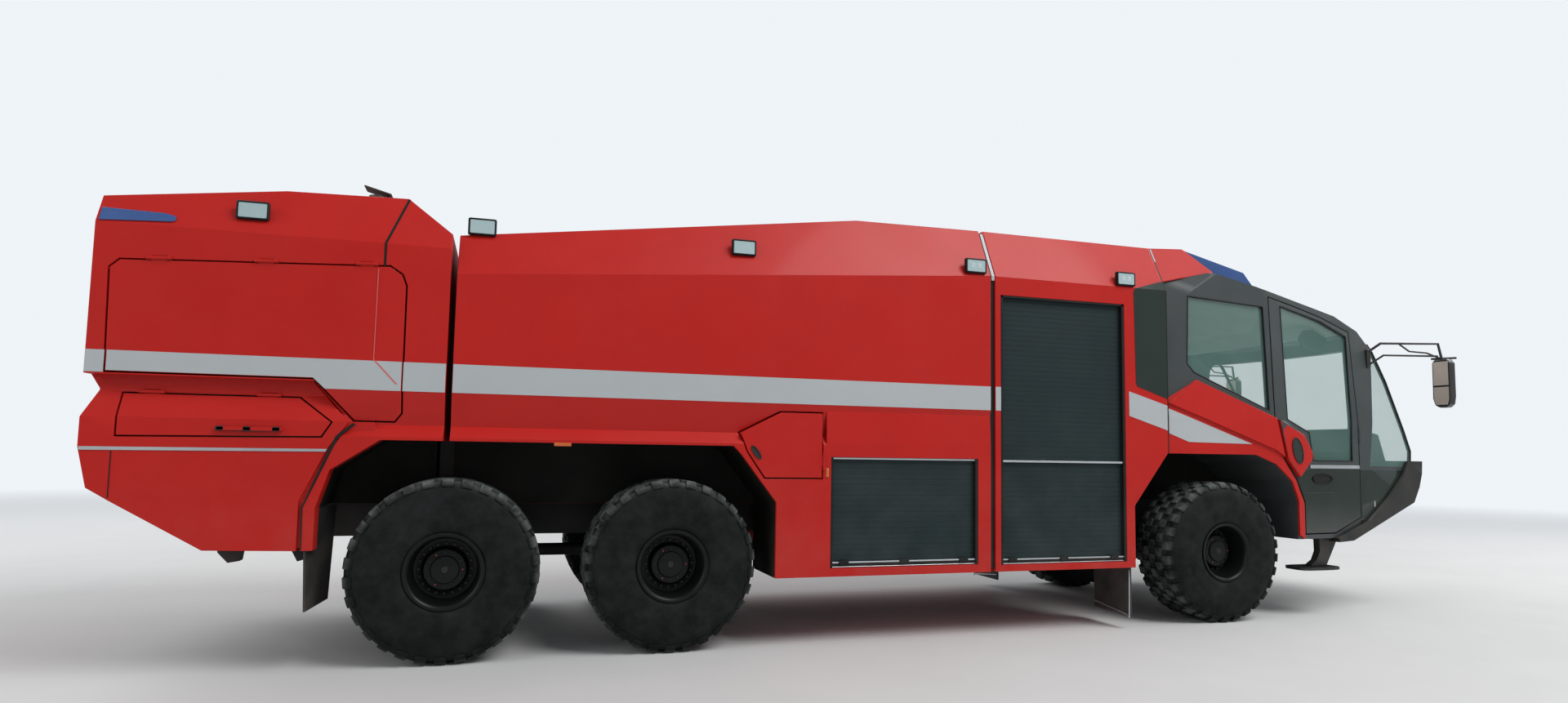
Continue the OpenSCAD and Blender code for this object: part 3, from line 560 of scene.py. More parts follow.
@dataclass(frozen=True)
class Finish:
    """One surface finish.

    Colours are linear. Roughness runs between its two values over the surface.
    """

    name: str
    slot: str
    sheen: Sheen
    colour: Point3
    roughness: Point2 = (0.35, 0.5)
    metallic: float = 0.0
    coat: float = 0.0
    specular: float = 0.5
    grain_scale: float = 60.0
    grain_height: float = 0.0004
    dust: float = 0.25
    dust_top: float = 1.8
    shade: float = 0.85
    alpha: float = 1.0
    axle_x: float | None = None
    dust_colour: Point3 = (0.30, 0.26, 0.21)
    made: dict = field(default_factory=dict, compare=False, hash=False)

    def material(self, effects: Effects) -> bpy.types.Material:
        """The finish's material, made once."""
        if "material" not in self.made:
            self.made["material"] = self._build(effects)
        return self.made["material"]

    def _build(self, effects: Effects) -> bpy.types.Material:
        """Makes the material's nodes.

        Args:
            effects: the shared shader groups.

        Returns:
            The material.
        """
        material = bpy.data.materials.new(self.name)
        material.use_nodes = True
        sketch = Sketch(material.node_tree)
        shader = material.node_tree.nodes["Principled BSDF"]
        links = material.node_tree.links
        place = sketch.add("ShaderNodeTexCoord").outputs["Object"]
        base = (*self.colour, 1.0)
        deep = (*(c * self.shade for c in self.colour), 1.0)
        varied = sketch.mix(sketch.ramp(sketch.noise(place, 2.3, 5.0, 0.6), 0.35, 0.65), deep, base)
        if self.axle_x is None:
            mask = sketch.add("ShaderNodeGroup", {"node_tree": effects.dust}, Amount=self.dust,
                              Top=self.dust_top).outputs["Mask"]
        else:
            mask = sketch.add("ShaderNodeGroup", {"node_tree": effects.ring_dust_and_highlight}, Axle_X=self.axle_x,
                              Amount=self.dust).outputs["Mask"]
        dusty = (*self.dust_colour, 1.0)
        links.new(sketch.mix(mask, varied, dusty), shader.inputs["Base Color"])
        grain = sketch.add("ShaderNodeGroup", {"node_tree": effects.grain}, Low=self.roughness[0],
                           High=self.roughness[1], Scale=self.grain_scale)
        dulled = sketch.math("ADD", grain.outputs["Roughness"], sketch.math("MULTIPLY", mask, 0.5),
                             clamp=True)
        links.new(dulled, shader.inputs["Roughness"])
        height = grain.outputs["Height"]
        if self.sheen is Sheen.CLOTH:
            weave = sketch.add("ShaderNodeTexWave", {"wave_type": "BANDS"}, Vector=place, Scale=160.0,
                               Distortion=1.5).outputs[1]
            height = sketch.math("ADD", height, weave)
            shader.inputs["Sheen Weight"].default_value = 0.3
        if self.sheen is Sheen.METAL:
            brushed = sketch.add("ShaderNodeMapping", None, Vector=place, Scale=(2.0, 60.0,
                                                                                 60.0)).outputs[0]
            height = sketch.math("ADD", height, sketch.noise(brushed, 8.0))
        bump = sketch.add("ShaderNodeBump", None, Strength=0.35, Distance=self.grain_height, Height=height)
        links.new(bump.outputs[0], shader.inputs["Normal"])
        shader.inputs["Metallic"].default_value = self.metallic
        shader.inputs["Coat Weight"].default_value = self.coat
        shader.inputs["Specular IOR Level"].default_value = self.specular
        shader.inputs["Coat Roughness"].default_value = 0.08
        if self.sheen is Sheen.GLASS:
            shader.inputs["Alpha"].default_value = self.alpha
            shader.inputs["IOR"].default_value = 1.5
        return material


class Finishes:
    """Every finish on the vehicle."""

    red = Finish("red_gloss_paint", "red_paint", Sheen.PAINT, (0.48, 0.013, 0.009), (0.36, 0.44), coat=0.08,
                 specular=0.2, grain_scale=90, grain_height=0.0002, dust=0.10, dust_top=1.6, shade=0.94)
    stripe = Finish("reflective_stripe", "red_paint", Sheen.PLAIN, (0.42, 0.45, 0.46), (0.4, 0.5), coat=0.1,
                    grain_scale=400, grain_height=0.0002, dust=0.08, shade=0.96)
    shutter = Finish("coated_slats", "shutter_grey", Sheen.PLAIN, (0.015, 0.028, 0.030), (0.44, 0.54),
                     specular=0.2, dust=0.08, dust_top=2.0)
    trim = Finish("satin_aluminium", "shutter_grey", Sheen.METAL, (0.62, 0.66, 0.68), (0.28, 0.4),
                  metallic=0.85, dust=0.15)
    tread = Finish("tread_plate", "shutter_grey", Sheen.METAL, (0.19, 0.20, 0.20), (0.45, 0.6),
                   metallic=0.4, dust=0.3, dust_top=5.0)
    chassis = Finish("chassis_black", "chassis_steel", Sheen.PLAIN, (0.010, 0.010, 0.010), (0.55, 0.75),
                     dust=0.14, dust_top=1.6, grain_height=0.001)
    axle = Finish("cast_housings", "axle_iron", Sheen.PLAIN, (0.012, 0.012, 0.012), (0.55, 0.75), dust=0.18,
                  dust_top=1.6, grain_scale=120, grain_height=0.002)
    drive = Finish("drive_castings", "driveline_iron", Sheen.PLAIN, (0.016, 0.016, 0.016), (0.5, 0.7),
                   dust=0.15, dust_top=1.6, grain_scale=120, grain_height=0.002)
    engine = Finish("engine_grey", "engine_block", Sheen.PLAIN, (0.07, 0.07, 0.07), (0.5, 0.7), dust=0.3)
    grille = Finish("louvre_black", "grille_black", Sheen.PLAIN, (0.02, 0.02, 0.02), (0.45, 0.6), dust=0.3,
                    dust_top=3.2)
    exhaust = Finish("sooty_steel", "exhaust_steel", Sheen.METAL, (0.10, 0.09, 0.08), (0.4, 0.6),
                     metallic=0.8, dust=0.2, dust_top=5.0)
    liner = Finish("liner_black", "liner_black", Sheen.PLAIN, (0.005, 0.006, 0.004), (0.6, 0.8),
                   specular=0.2, dust=0.08, dust_top=1.6, grain_scale=200, grain_height=0.0008)
    flap = Finish("flap_rubber", "flap_rubber", Sheen.RUBBER, (0.014, 0.015, 0.015), (0.55, 0.7), dust=0.2)
    cab = Finish("cab_dark_grey", "cab_grey", Sheen.PLAIN, (0.046, 0.055, 0.056), (0.34, 0.44), coat=0.1,
                 specular=0.35, dust=0.06, dust_top=2.6)
    cab_black = Finish("cab_gloss_black", "cab_grey", Sheen.PAINT, (0.013, 0.024, 0.018), (0.08, 0.14),
                       coat=0.5, specular=0.4, grain_height=0.0001, dust=0.06, dust_top=1.8)
    seal = Finish("window_seal", "flap_rubber", Sheen.RUBBER, (0.008, 0.008, 0.008), (0.45, 0.6),
                  specular=0.25, dust=0.1)
    glass = Finish("tinted_glass", "glass", Sheen.GLASS, (0.25, 0.46, 0.40), (0.02, 0.04), coat=0.2,
                   grain_height=0.00002, dust=0.02, alpha=0.18)
    blue = Finish("blue_lens", "blue_lens", Sheen.PAINT, (0.024, 0.085, 0.28), (0.12, 0.2), coat=0.8,
                  dust=0.08, dust_top=6.0)
    lens = Finish("lamp_lens", "lamp_lens", Sheen.PAINT, (0.42, 0.56, 0.57), (0.14, 0.25), coat=0.5,
                  dust=0.08)
    reflector = Finish("lamp_reflector", "lamp_lens", Sheen.METAL, (0.62, 0.74, 0.75), (0.2, 0.3),
                       metallic=0.3, dust=0.0)
    tail = Finish("tail_lens", "tail_lens", Sheen.PAINT, (0.36, 0.015, 0.012), (0.12, 0.2), coat=0.8,
                  dust=0.2)
    amber = Finish("amber_lens", "tail_lens", Sheen.PAINT, (0.62, 0.13, 0.02), (0.15, 0.25), coat=0.7,
                   dust=0.2)
    bumper = Finish("bumper_black", "bumper_black", Sheen.PLAIN, (0.018, 0.019, 0.018), (0.38, 0.5),
                    specular=0.3, dust=0.15, grain_scale=260, grain_height=0.0006)
    interior = Finish("interior_dark", "interior_dark", Sheen.PLAIN, (0.035, 0.036, 0.038), (0.5, 0.65),
                      dust=0.1, grain_scale=300, grain_height=0.0006)
    lining = Finish("pale_head_lining", "interior_dark", Sheen.CLOTH, (0.60, 0.68, 0.64), (0.8, 0.9),
                    dust=0.05, grain_scale=300, grain_height=0.0006)
    leather = Finish("wheel_rim_leather", "wheel_rim_leather", Sheen.PLAIN, (0.016, 0.016, 0.016),
                     (0.4, 0.5), dust=0.0, grain_scale=500, grain_height=0.0005)
    cloth = Finish("seat_cloth", "seat_cloth", Sheen.CLOTH, (0.035, 0.037, 0.045), (0.8, 0.9), dust=0.05,
                   grain_scale=400, grain_height=0.001)
    mirror_black = Finish("mirror_shell", "mirror_black", Sheen.PLAIN, (0.02, 0.02, 0.022), (0.3, 0.4),
                          coat=0.2, dust=0.12, dust_top=4.0)
    # The mirror glass is a pale brownish grey with little metal, the look of what it reflects: a painted
    # reflection.
    painted_mirror_reflection = Finish("painted_mirror_reflection", "mirror_black", Sheen.METAL, (0.66, 0.54, 0.47), (0.28, 0.36),
                         metallic=0.15, dust=0.05, grain_height=0.00001)
    step = Finish("step_black", "step_black", Sheen.PLAIN, (0.014, 0.014, 0.014), (0.45, 0.6), dust=0.2)
    # A lighter red than the body, for the flap's crease: a painted highlight.
    painted_highlight_red = Finish("painted_crease_highlight", "red_paint", Sheen.PAINT, (0.66, 0.10, 0.085), (0.3, 0.4), coat=0.2,
                         dust=0.0)
    turret = Finish("turret_metal", "turret_metal", Sheen.METAL, (0.5, 0.5, 0.52), (0.3, 0.4), metallic=0.9,
                    dust=0.1)
    bolt = Finish("dark_bolts", "rim_paint", Sheen.METAL, (0.022, 0.022, 0.022), (0.4, 0.55), metallic=0.5,
                  dust=0.1)
    bolt_mark = Finish("bolt_marks", "rim_paint", Sheen.PLAIN, (0.45, 0.05, 0.03), (0.4, 0.5), dust=0.3)


# Handing over, and the places to work from

@dataclass
class Workshop:
    """What every class needs: the frame, the shared effects, and a way to hand a piece over."""

    frame: dict
    effects: Effects
    count: int = 0

    def deliver(self, obj: Obj, finish: Finish, body: str = "vehicle", replaces: Sequence[str] = (),
                smooth: float = 32.0) -> Obj:
        """Gives a finished piece its shading, material and body.

        Args:
            obj: the piece, its place in its mesh.
            finish: its finish.
            body: the CAD body that it rides on.
            replaces: the CAD nodes that it stands for.
            smooth: edges under this angle in degrees are shaded round.

        Returns:
            The same piece.
        """
        only(obj)
        if smooth:
            bpy.ops.object.shade_smooth_by_angle(angle=math.radians(smooth))
            with_modifier(obj, "WEIGHTED_NORMAL", keep_sharp=True, mode="FACE_AREA", weight=100)
        obj.data.materials.clear()
        obj.data.materials.append(finish.material(self.effects))
        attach(obj, body)
        if replaces:
            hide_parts(*replaces)
        self.count += 1
        LOG.info("%s rides on %s, %d faces, %s", obj.name, body, len(obj.data.polygons), finish.name)
        return obj

    def deliver_pair(self, name: str, parts: Sequence[Obj], finish: Finish, replaces: Sequence[str] = (),
                     smooth: float = 32.0) -> None:
        """Joins the right side's parts with their mirror images, and delivers them as one piece.

        Args:
            name: the piece's name.
            parts: what it has on the right side.
            finish: its finish.
            replaces: the CAD nodes that it stands for.
            smooth: edges under this angle in degrees are shaded round.
        """
        right = joined(name, parts)
        self.deliver(joined(name, [right, mirrored(right)]), finish, replaces=replaces, smooth=smooth)

    def dress(self, node: str, finish: Finish) -> None:
        """Gives a CAD node's own mesh a finish."""
        obj = self.frame["nodes"][node]
        obj.data.materials.clear()
        obj.data.materials.append(finish.material(self.effects))

    def body_of(self, node: str) -> str:
        """The body that a CAD node rides on."""
        return self.frame["nodes"][node]["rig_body"]

    def softened(self, node: str, finish: Finish, width: float = 0.006, shortest: float = 0.05,
                 smooth: float = 24.0) -> Obj:
        """Stands a copy of a CAD node with rounded edges in the node's place.

        Args:
            node: the CAD node.
            finish: the copy's finish.
            width: the radius of the edges.
            shortest: edges under this length stay sharp.
            smooth: edges under this angle in degrees are shaded round.

        Returns:
            The copy.
        """
        source = self.frame["nodes"][node]
        obj = bpy.data.objects.new(node + "_skin", source.data.copy())
        bpy.context.scene.collection.objects.link(obj)
        mesh_op(obj, lambda: bpy.ops.mesh.remove_doubles(threshold=MERGE_GAP),
                lambda: bpy.ops.mesh.dissolve_limited(angle_limit=math.radians(FLAT_ANGLE)),
                lambda: bpy.ops.mesh.quads_convert_to_tris(quad_method="BEAUTY", ngon_method="BEAUTY"))
        shape = bmesh.new()
        shape.from_mesh(obj.data)
        weight = shape.edges.layers.float.new("bevel_weight_edge")
        for edge in shape.edges:
            sharp = len(edge.link_faces) == 2 and edge.calc_face_angle(0.0) > math.radians(SHARP_ANGLE)
            roomy = all(other.calc_length() > EDGE_ROOM * width
                        for v in edge.verts for other in v.link_edges)
            if sharp and roomy and edge.calc_length() > shortest:
                edge[weight] = 1.0
        shape.to_mesh(obj.data)
        shape.free()
        with_modifier(obj, "BEVEL", width=width, segments=2, limit_method="WEIGHT", use_clamp_overlap=False)
        return self.deliver(obj, finish, self.body_of(node), [node], smooth=smooth)


@dataclass
class Plan:
    """The places that every sub-assembly works from, read from the frame."""

    half: float
    rear_x: float
    gap_rear: float
    tank_x: float
    gap_tank: float
    lock_x: float
    gap_lock: float
    cab_x: float
    axle_rear: float
    axle_mid: float
    axle_front: float
    wheel_z: float
    belt_z: float = 2.005
    cab_half: float = 1.45
    cab_lean: float = 0.085
    cab_taper: float = 0.1
    facet_lean: float = 0.5
    rear_crease: float = 3.10
    lock_crease: float = 3.24
    tank_crease: Point2 = (2.91, 3.24)
    fold_depth: float = 0.07
    fold_z: float = 1.76
    lip_z: float = 1.675

    @classmethod
    def from_frame(cls) -> "Plan":
        """Reads the places from the CAD nodes' boxes."""
        locker, tank, rear, cab = (
            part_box(n) for n in ("locker_body", "tank_body", "rear_body", "cab_shell"))

        def axle(node: str) -> Vector:
            """The middle of a tyre."""
            low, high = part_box(node)
            return (low + high) / 2

        return cls(half=locker[1].y, rear_x=rear[0].x, gap_rear=rear[1].x, tank_x=tank[0].x,
                   gap_tank=tank[1].x, lock_x=locker[0].x, gap_lock=locker[1].x, cab_x=cab[0].x,
                   axle_rear=axle("tyre_rr").x, axle_mid=axle("tyre_mr").x, axle_front=axle("tyre_fr").x,
                   wheel_z=axle("tyre_mr").z)

    def crease(self, x: float) -> float:
        """The height where the body side turns in to the roof."""
        if x < self.gap_rear + 0.01:
            return self.rear_crease
        if x > self.lock_x - 0.01:
            return self.lock_crease
        low, high = self.tank_crease
        return low + (high - low) * (x - self.tank_x) / (self.gap_tank - self.tank_x)

    def body_y(self, x: float, z: float) -> float:
        """Half the width of the body at a place on its side."""
        above = max(0.0, z - self.crease(x))
        inward = 0.0
        in_fold = self.lip_z < z < self.belt_z and x < self.gap_tank + 0.01 and x > self.rear_x + 1.4
        if in_fold and z > self.fold_z:
            inward = self.fold_depth * (self.belt_z - z) / (self.belt_z - self.fold_z)
        elif in_fold:
            inward = self.fold_depth * (z - self.lip_z) / (self.fold_z - self.lip_z)
        return self.half - self.facet_lean * above - inward

    def cab_y(self, x: float, z: float) -> float:
        """Half the width of the cab's skin at a place on its side."""
        return (self.cab_half - self.cab_taper * max(0.0, x - self.axle_front - 0.72)
                - self.cab_lean * max(0.0, z - self.belt_z))


def skin(name: str, outline: Sequence[Point2], surface: Callable[[float, float], float], proud: float,
         cuts: Sequence[tuple[Point3, Point3]] = (), thick: float = 0.004) -> Obj:
    """A thin panel that lies on the right side of the vehicle.

    Args:
        name: the piece's name.
        outline: its corners, as (x, z).
        surface: half the width of what it lies on, at (x, z).
        proud: how far it stands out.
        cuts: planes, each a point and a normal, along which the surface bends.
        thick: how far the panel reaches back in.

    Returns:
        The closed panel.
    """
    obj = flat(name, [(x, 0.0, z) for x, z in outline])
    for point, normal in cuts:
        mesh_op(obj, lambda: bpy.ops.mesh.bisect(plane_co=point, plane_no=normal))
    for vertex in obj.data.vertices:
        vertex.co.y = -(surface(vertex.co.x, vertex.co.z) + proud)
    obj.data.update()
    mesh_op(obj, lambda: bpy.ops.mesh.extrude_region_move(TRANSFORM_OT_translate={"value": (0, thick, 0)}),
            lambda: bpy.ops.mesh.select_all(action="SELECT"),
            lambda: bpy.ops.mesh.normals_make_consistent(inside=False))
    return obj


def oval(x: float, z: float, long: float, short: float, lean: float, count: int = 28) -> list[Point2]:
    """The corners of an oval whose long axis leans back from upright by an angle in degrees."""
    turn = math.radians(lean)
    corners = []
    for i in range(count):
        u, v = short * math.cos(math.tau * i / count), long * math.sin(math.tau * i / count)
        corners.append((x + u * math.cos(turn) - v * math.sin(turn),
                        z + u * math.sin(turn) + v * math.cos(turn)))
    return corners


def level(z: float) -> tuple[Point3, Point3]:
    """A flat cut at a height."""
    return (0.0, 0.0, z), (0.0, 0.0, 1.0)


def oblong(x0: float, x1: float, z0: float, z1: float) -> list[Point2]:
    """The corners of an upright oblong."""
    return [(x0, z0), (x1, z0), (x1, z1), (x0, z1)]


def shifted(x0: float, *corners: Sequence[float]) -> list[Sequence[float]]:
    """Corners whose first number is counted from a place along the vehicle."""
    return [(x0 + x, *rest) for x, *rest in corners]


# Sub-assemblies

@dataclass
class Body:
    """The red body: its softened panels, stripes, seams, handles and trim."""

    shop: Workshop
    plan: Plan
    stripe_low: float = 2.01
    stripe_high: float = 2.225
    stripe_rear_low: float = 2.075
    proud: float = 0.0025

    def build(self) -> None:
        """Builds every piece of the body."""
        self.panels()
        self.stripes()
        self.dark_quarter()
        self.rear_trim()
        self.under_brackets()
        self.rear_neck()
        self.skirt_fascia()
        self.gap_seals()
        self.handles()
        self.markers()
        self.walkways()

    def panels(self) -> None:
        """The red CAD panels with rounded edges."""
        red = Finishes.red
        for node, width in (("rear_body", 0.005), ("tank_body", 0.005), ("locker_body", 0.008),
                            ("side_panels", 0.006), ("roof_fairing", 0.012)):
            self.shop.softened(node, red, width)
        for side in SIDE_NAMES.values():
            for node in ("upper_flap", "lower_flap", "pump_door"):
                self.shop.softened(f"{node}_{side}", red, 0.003)
        self.shop.softened("turret_base", red, 0.006)

    def side_strips(self, name: str, outline: Sequence[Point2], body: str, surface: Callable,
                    finish: Finish, cuts: Sequence[tuple[Point3, Point3]] = (), base: float = 0.0) -> None:
        """Lays one strip on each side.

        Args:
            name: the strip's name, to which the side is added.
            outline: its corners, as (x, z).
            body: the body that it rides on, with {} for the side.
            surface: half the width of what it lies on.
            finish: its finish.
            cuts: planes along which the surface bends.
            base: how far what it lies on stands out from the surface.
        """
        right = skin(f"{name}_r", outline, surface, self.proud + base, cuts)
        left = mirrored(right, f"{name}_l")
        for obj, side in ((right, "r"), (left, "l")):
            self.shop.deliver(obj, finish, body.format(side), smooth=0)

    def stripes(self) -> None:
        """The pale stripe along both sides, in the pieces that the gaps and doors part."""
        plan, low, high, rear_low = self.plan, self.stripe_low, self.stripe_high, self.stripe_rear_low
        flap_low, flap_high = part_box("upper_flap_r")
        flap_x0, flap_x1 = flap_low.x + 0.018, flap_high.x - 0.006
        gap, shy = 0.012, 0.003
        corner, flap_foot = plan.rear_x + 1.42, rear_low + 0.013
        on_flap = [(flap_x0 + 0.002, flap_foot), (corner - 0.05, flap_foot), (corner + 0.03, low),
                   (flap_x1, low), (flap_x1, high), (flap_x0 + 0.002, high)]
        door_x0, quarter_x0 = plan.lock_x + 0.06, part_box("shutters")[1].x + 0.045
        quarter_x1 = plan.gap_lock - shy
        on_quarter = [(quarter_x0, 2.00), (quarter_x1, 1.87), (quarter_x1, 2.11), (quarter_x0, 2.235)]
        for name, outline, body in (
                ("rear_end", oblong(plan.rear_x + 0.004, flap_x0 - gap, rear_low, high), "vehicle"),
                ("flap", on_flap, "upper_flap_{}"),
                ("rear_front", oblong(flap_x1 + gap, plan.gap_rear - shy, low, high), "vehicle"),
                ("tank", oblong(plan.tank_x + shy, plan.gap_tank - shy, low, high), "vehicle"),
                ("locker", oblong(plan.lock_x + shy, door_x0 - shy, low, high), "vehicle"),
                ("quarter", on_quarter, "vehicle")):
            self.side_strips("stripe_" + name, outline, body, plan.body_y, Finishes.stripe)
        on_cab = shifted(plan.cab_x, (0.004, 1.845), (0.24, 1.765), (1.02, 1.757), (0.004, 2.088))
        self.side_strips("stripe_cab", on_cab, "vehicle", plan.cab_y, Finishes.stripe, [level(plan.belt_z)],
                         base=0.025)

    def dark_quarter(self) -> None:
        """The gloss black panel on the upper front corner of the locker body."""
        plan = self.plan
        outline = shifted(plan.gap_lock - 0.003, (-0.345, 2.285), (0.0, 2.175), (0.0, 3.335),
                          (-0.055, 3.325), (-0.36, 3.235), (-0.375, 3.20), (-0.36, 2.32))
        self.side_strips("dark_quarter", outline, "vehicle", plan.body_y, Finishes.cab_black,
                         [level(plan.lock_crease)])

    def rear_trim(self) -> None:
        """Silver strip, seams and the flap's crease on the rear section's sides. The crease is a strip of
        lighter red, a painted highlight.
        """
        plan = self.plan

        def lower_y(x: float, z: float) -> float:
            """Half the width of the lower rear side."""
            return plan.half - 0.09 * min(1.0, max(0.0, (z - 1.78) / 0.18))

        x0, x1 = plan.rear_x + 0.008, plan.rear_x + 1.478
        strip = [(x0, 1.552), (x1, 1.560), (x1 + 0.012, 1.580), (x0, 1.576)]
        right = skin("silver_strip_r", strip, lower_y, 0.006, thick=0.012)
        for obj in (right, mirrored(right, "silver_strip_l")):
            self.shop.deliver(edges_rounded(obj, 0.002), Finishes.trim)
        seam_x, foot_z = plan.rear_x + 0.19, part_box("upper_flap_r")[1].z - 0.02
        self.side_strips("corner_seam", oblong(seam_x - 0.003, seam_x + 0.003, 1.235, 1.548), "vehicle",
                         lower_y, Finishes.seal)
        top_seam = shifted(plan.gap_rear - 0.355, (-0.107, foot_z), (-0.107, 3.105), (0.018, 3.492),
                           (0.036, 3.492), (-0.091, 3.100), (-0.091, foot_z))
        self.side_strips("roof_seam", top_seam, "vehicle", plan.body_y, Finishes.seal,
                         [level(plan.rear_crease)])
        flare = shifted(x0, (1.640, 1.770), (1.530, 1.674), (1.336, 1.167), (1.345, 0.865), (1.352, 0.865),
                        (1.346, 1.163), (1.548, 1.664), (1.655, 1.757))
        self.side_strips("flare_seam", flare, "vehicle", lambda x, z: plan.half, Finishes.seal)
        # The flap's crease is a strip of lighter red: a painted highlight.
        crease = shifted(plan.axle_rear - 0.543, (0.0, 2.905), (-0.002, 2.234), (0.159, 2.057),
                         (0.167, 2.060), (0.005, 2.238), (0.007, 2.905))
        self.side_strips("flap_crease_highlight", crease, "upper_flap_{}", plan.body_y, Finishes.painted_highlight_red,
                         base=0.002)

    def under_brackets(self) -> None:
        """Two small black brackets under each side of the tail."""
        across, half_thick = 1.30, 0.04
        brackets = []
        for at, wide in ((0.805, 0.16), (1.27, 0.09)):
            outline = shifted(self.plan.rear_x + at, (0.0, 0.90), (0.0, 0.845), (wide * 0.42, 0.77),
                              (wide * 0.90, 0.783), (wide, 0.90))
            brackets += [drawn("bracket", outline, side * across - half_thick, side * across + half_thick,
                               bevel=0.004) for side in SIDES]
        self.shop.deliver(joined("under_brackets", brackets), Finishes.chassis)

    def skirt_fascia(self) -> None:
        """The flat fascia above the low shutters, over the fold of the tank section."""
        plan = self.plan
        x0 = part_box("pump_door_r")[1].x + 0.012
        shape = [(plan.half + 0.0006, 1.670), (plan.half + 0.0006, 1.705), (plan.half - 0.0125, 1.962),
                 (plan.half - 0.085, 1.90), (plan.half - 0.085, 1.70)]
        right = drawn("skirt_fascia", [(-y, z) for y, z in shape], x0, plan.gap_tank - 0.002, Across.X,
                      0.002)
        self.shop.deliver_pair("skirt_fascia", [right], Finishes.red)

    def rear_neck(self) -> None:
        """The slanted underside of the upper rear overhang, above the tail."""
        x0, wide = self.plan.rear_x, self.plan.half - 0.092
        outline = shifted(x0, (0.008, 2.072), (0.082, 1.945), (0.150, 1.925), (0.150, 2.078))
        self.shop.deliver(drawn("rear_neck", outline, -wide, wide, bevel=0.003), Finishes.red)

    def gap_seals(self) -> None:
        """Black strips in the slots between the sections, with a pale strip in their upper part. The black
        strips, and black sheets low in the rear slot, are painted shade inside the slots.
        """
        plan = self.plan

        def ring(low: float, high: float, start: float, end: float, deep: float) -> list[Obj]:
            """A strip on each side of a slot, just inside the skin."""
            middle = (start + end) / 2
            knots = [low, *(z for z in (plan.crease(middle),) if low < z < high), high]
            outer = [(-plan.body_y(middle, z) + deep, z) for z in knots]
            inner = [(y + 0.03, z) for y, z in reversed(outer)]
            strip = drawn("strip", [*outer, *inner], start, end, Across.X)
            return [strip, mirrored(strip)]

        black, pale = [], []
        for start, end, foot, split, top in ((plan.gap_tank, plan.lock_x, 0.60, 3.20, 3.68),
                                             (plan.gap_lock, plan.cab_x, 1.66, 3.56, 3.70)):
            # The black strips are painted shade inside the slots.
            black += ring(foot, split, start + 0.003, end - 0.003, 0.020)
            pale += ring(split, top, start + 0.012, end - 0.004, 0.006)
        # Black sheets low in the rear slot, below the body: painted shade.
        for side in SIDES:
            low = (plan.gap_rear - 0.06, side * 0.79 - 0.004, 1.155)
            black.append(block("curtain", low, (plan.tank_x + 0.04, side * 0.79 + 0.004, 1.72)))
        self.shop.deliver(joined("gap_shade_strips", black), Finishes.seal, smooth=0)
        self.shop.deliver(joined("gap_strips", pale), Finishes.stripe, smooth=0)

    def handles(self) -> None:
        """Grip of the lower flap and the slanted catch of the pump door."""
        for side in SIDES:
            letter = SIDE_NAMES[side]
            y = side * (self.plan.half + 0.018)
            x0 = self.plan.rear_x + 0.79
            z = 1.713
            lumps = [block("lump", (x0 + at, y - 0.012, z - 0.016), (x0 + at + 0.055, y + 0.012, z + 0.016),
                           0.005) for at in (0.0, 0.165, 0.345)]
            bar = tube("bar", shifted(x0, (0.02, y, z), (0.08, y, z - 0.012), (0.33, y, z - 0.012),
                                      (0.37, y, z)), 0.008, smooth=True)
            self.shop.deliver(joined(f"flap_grip_{letter}", [bar, *lumps]), Finishes.step,
                              f"lower_flap_{letter}")
            face = side * (self.plan.half + 0.001)
            catch = drawn(f"pump_catch_{letter}", oval(self.plan.axle_mid + 0.66, 1.60, 0.068, 0.025, 36),
                          face - side * 0.012, face + side * 0.007)
            dished(catch, (0, side, 0), 0.006, 0.007)
            self.shop.deliver(catch, Finishes.step, f"pump_door_{letter}")

    def markers(self) -> None:
        """Amber side markers under the lip and beside the low shutter."""
        parts = []
        for side in SIDES:
            y = side * self.plan.half
            inner, outer = sorted((y - side * 0.02, y + side * 0.008))
            for x, z, wide, tall in ((self.plan.axle_mid - 0.95, 1.625, 0.13, 0.028),
                                     (-1.11, 1.40, 0.028, 0.075)):
                parts.append(block("marker", (x, inner, z), (x + wide, outer, z + tall), 0.006, 3))
        self.shop.deliver(joined("side_markers", parts), Finishes.amber)

    def walkways(self) -> None:
        """Ribbed tread strips in the roof walkways. The tank's starts where its roof meets their floor."""
        plan = self.plan
        rise = plan.axle_mid + 1.63 - plan.tank_x
        meets_floor = plan.tank_x + 0.7065 * rise
        for name, x0, x1, z in (("rear_walkway", plan.rear_x + 0.17, plan.gap_rear - 0.50, 3.30),
                                ("tank_walkway", meets_floor + 0.07, plan.gap_tank - 0.12, 3.565),
                                ("locker_walkway", plan.lock_x + 0.12, plan.gap_lock - 0.12, 3.565)):
            sheet = block("sheet", (x0, -0.92, z), (x1, 0.92, z + 0.006), 0.002)
            rib = block("rib", (x0 + 0.02, -0.90, z + 0.005), (x0 + 0.034, 0.90, z + 0.011), 0.002, 1)
            in_row(rib, int((x1 - x0 - 0.06) / 0.06), (0.06, 0, 0))
            self.shop.deliver(joined(name + "_tread", [sheet, rib]), Finishes.tread)


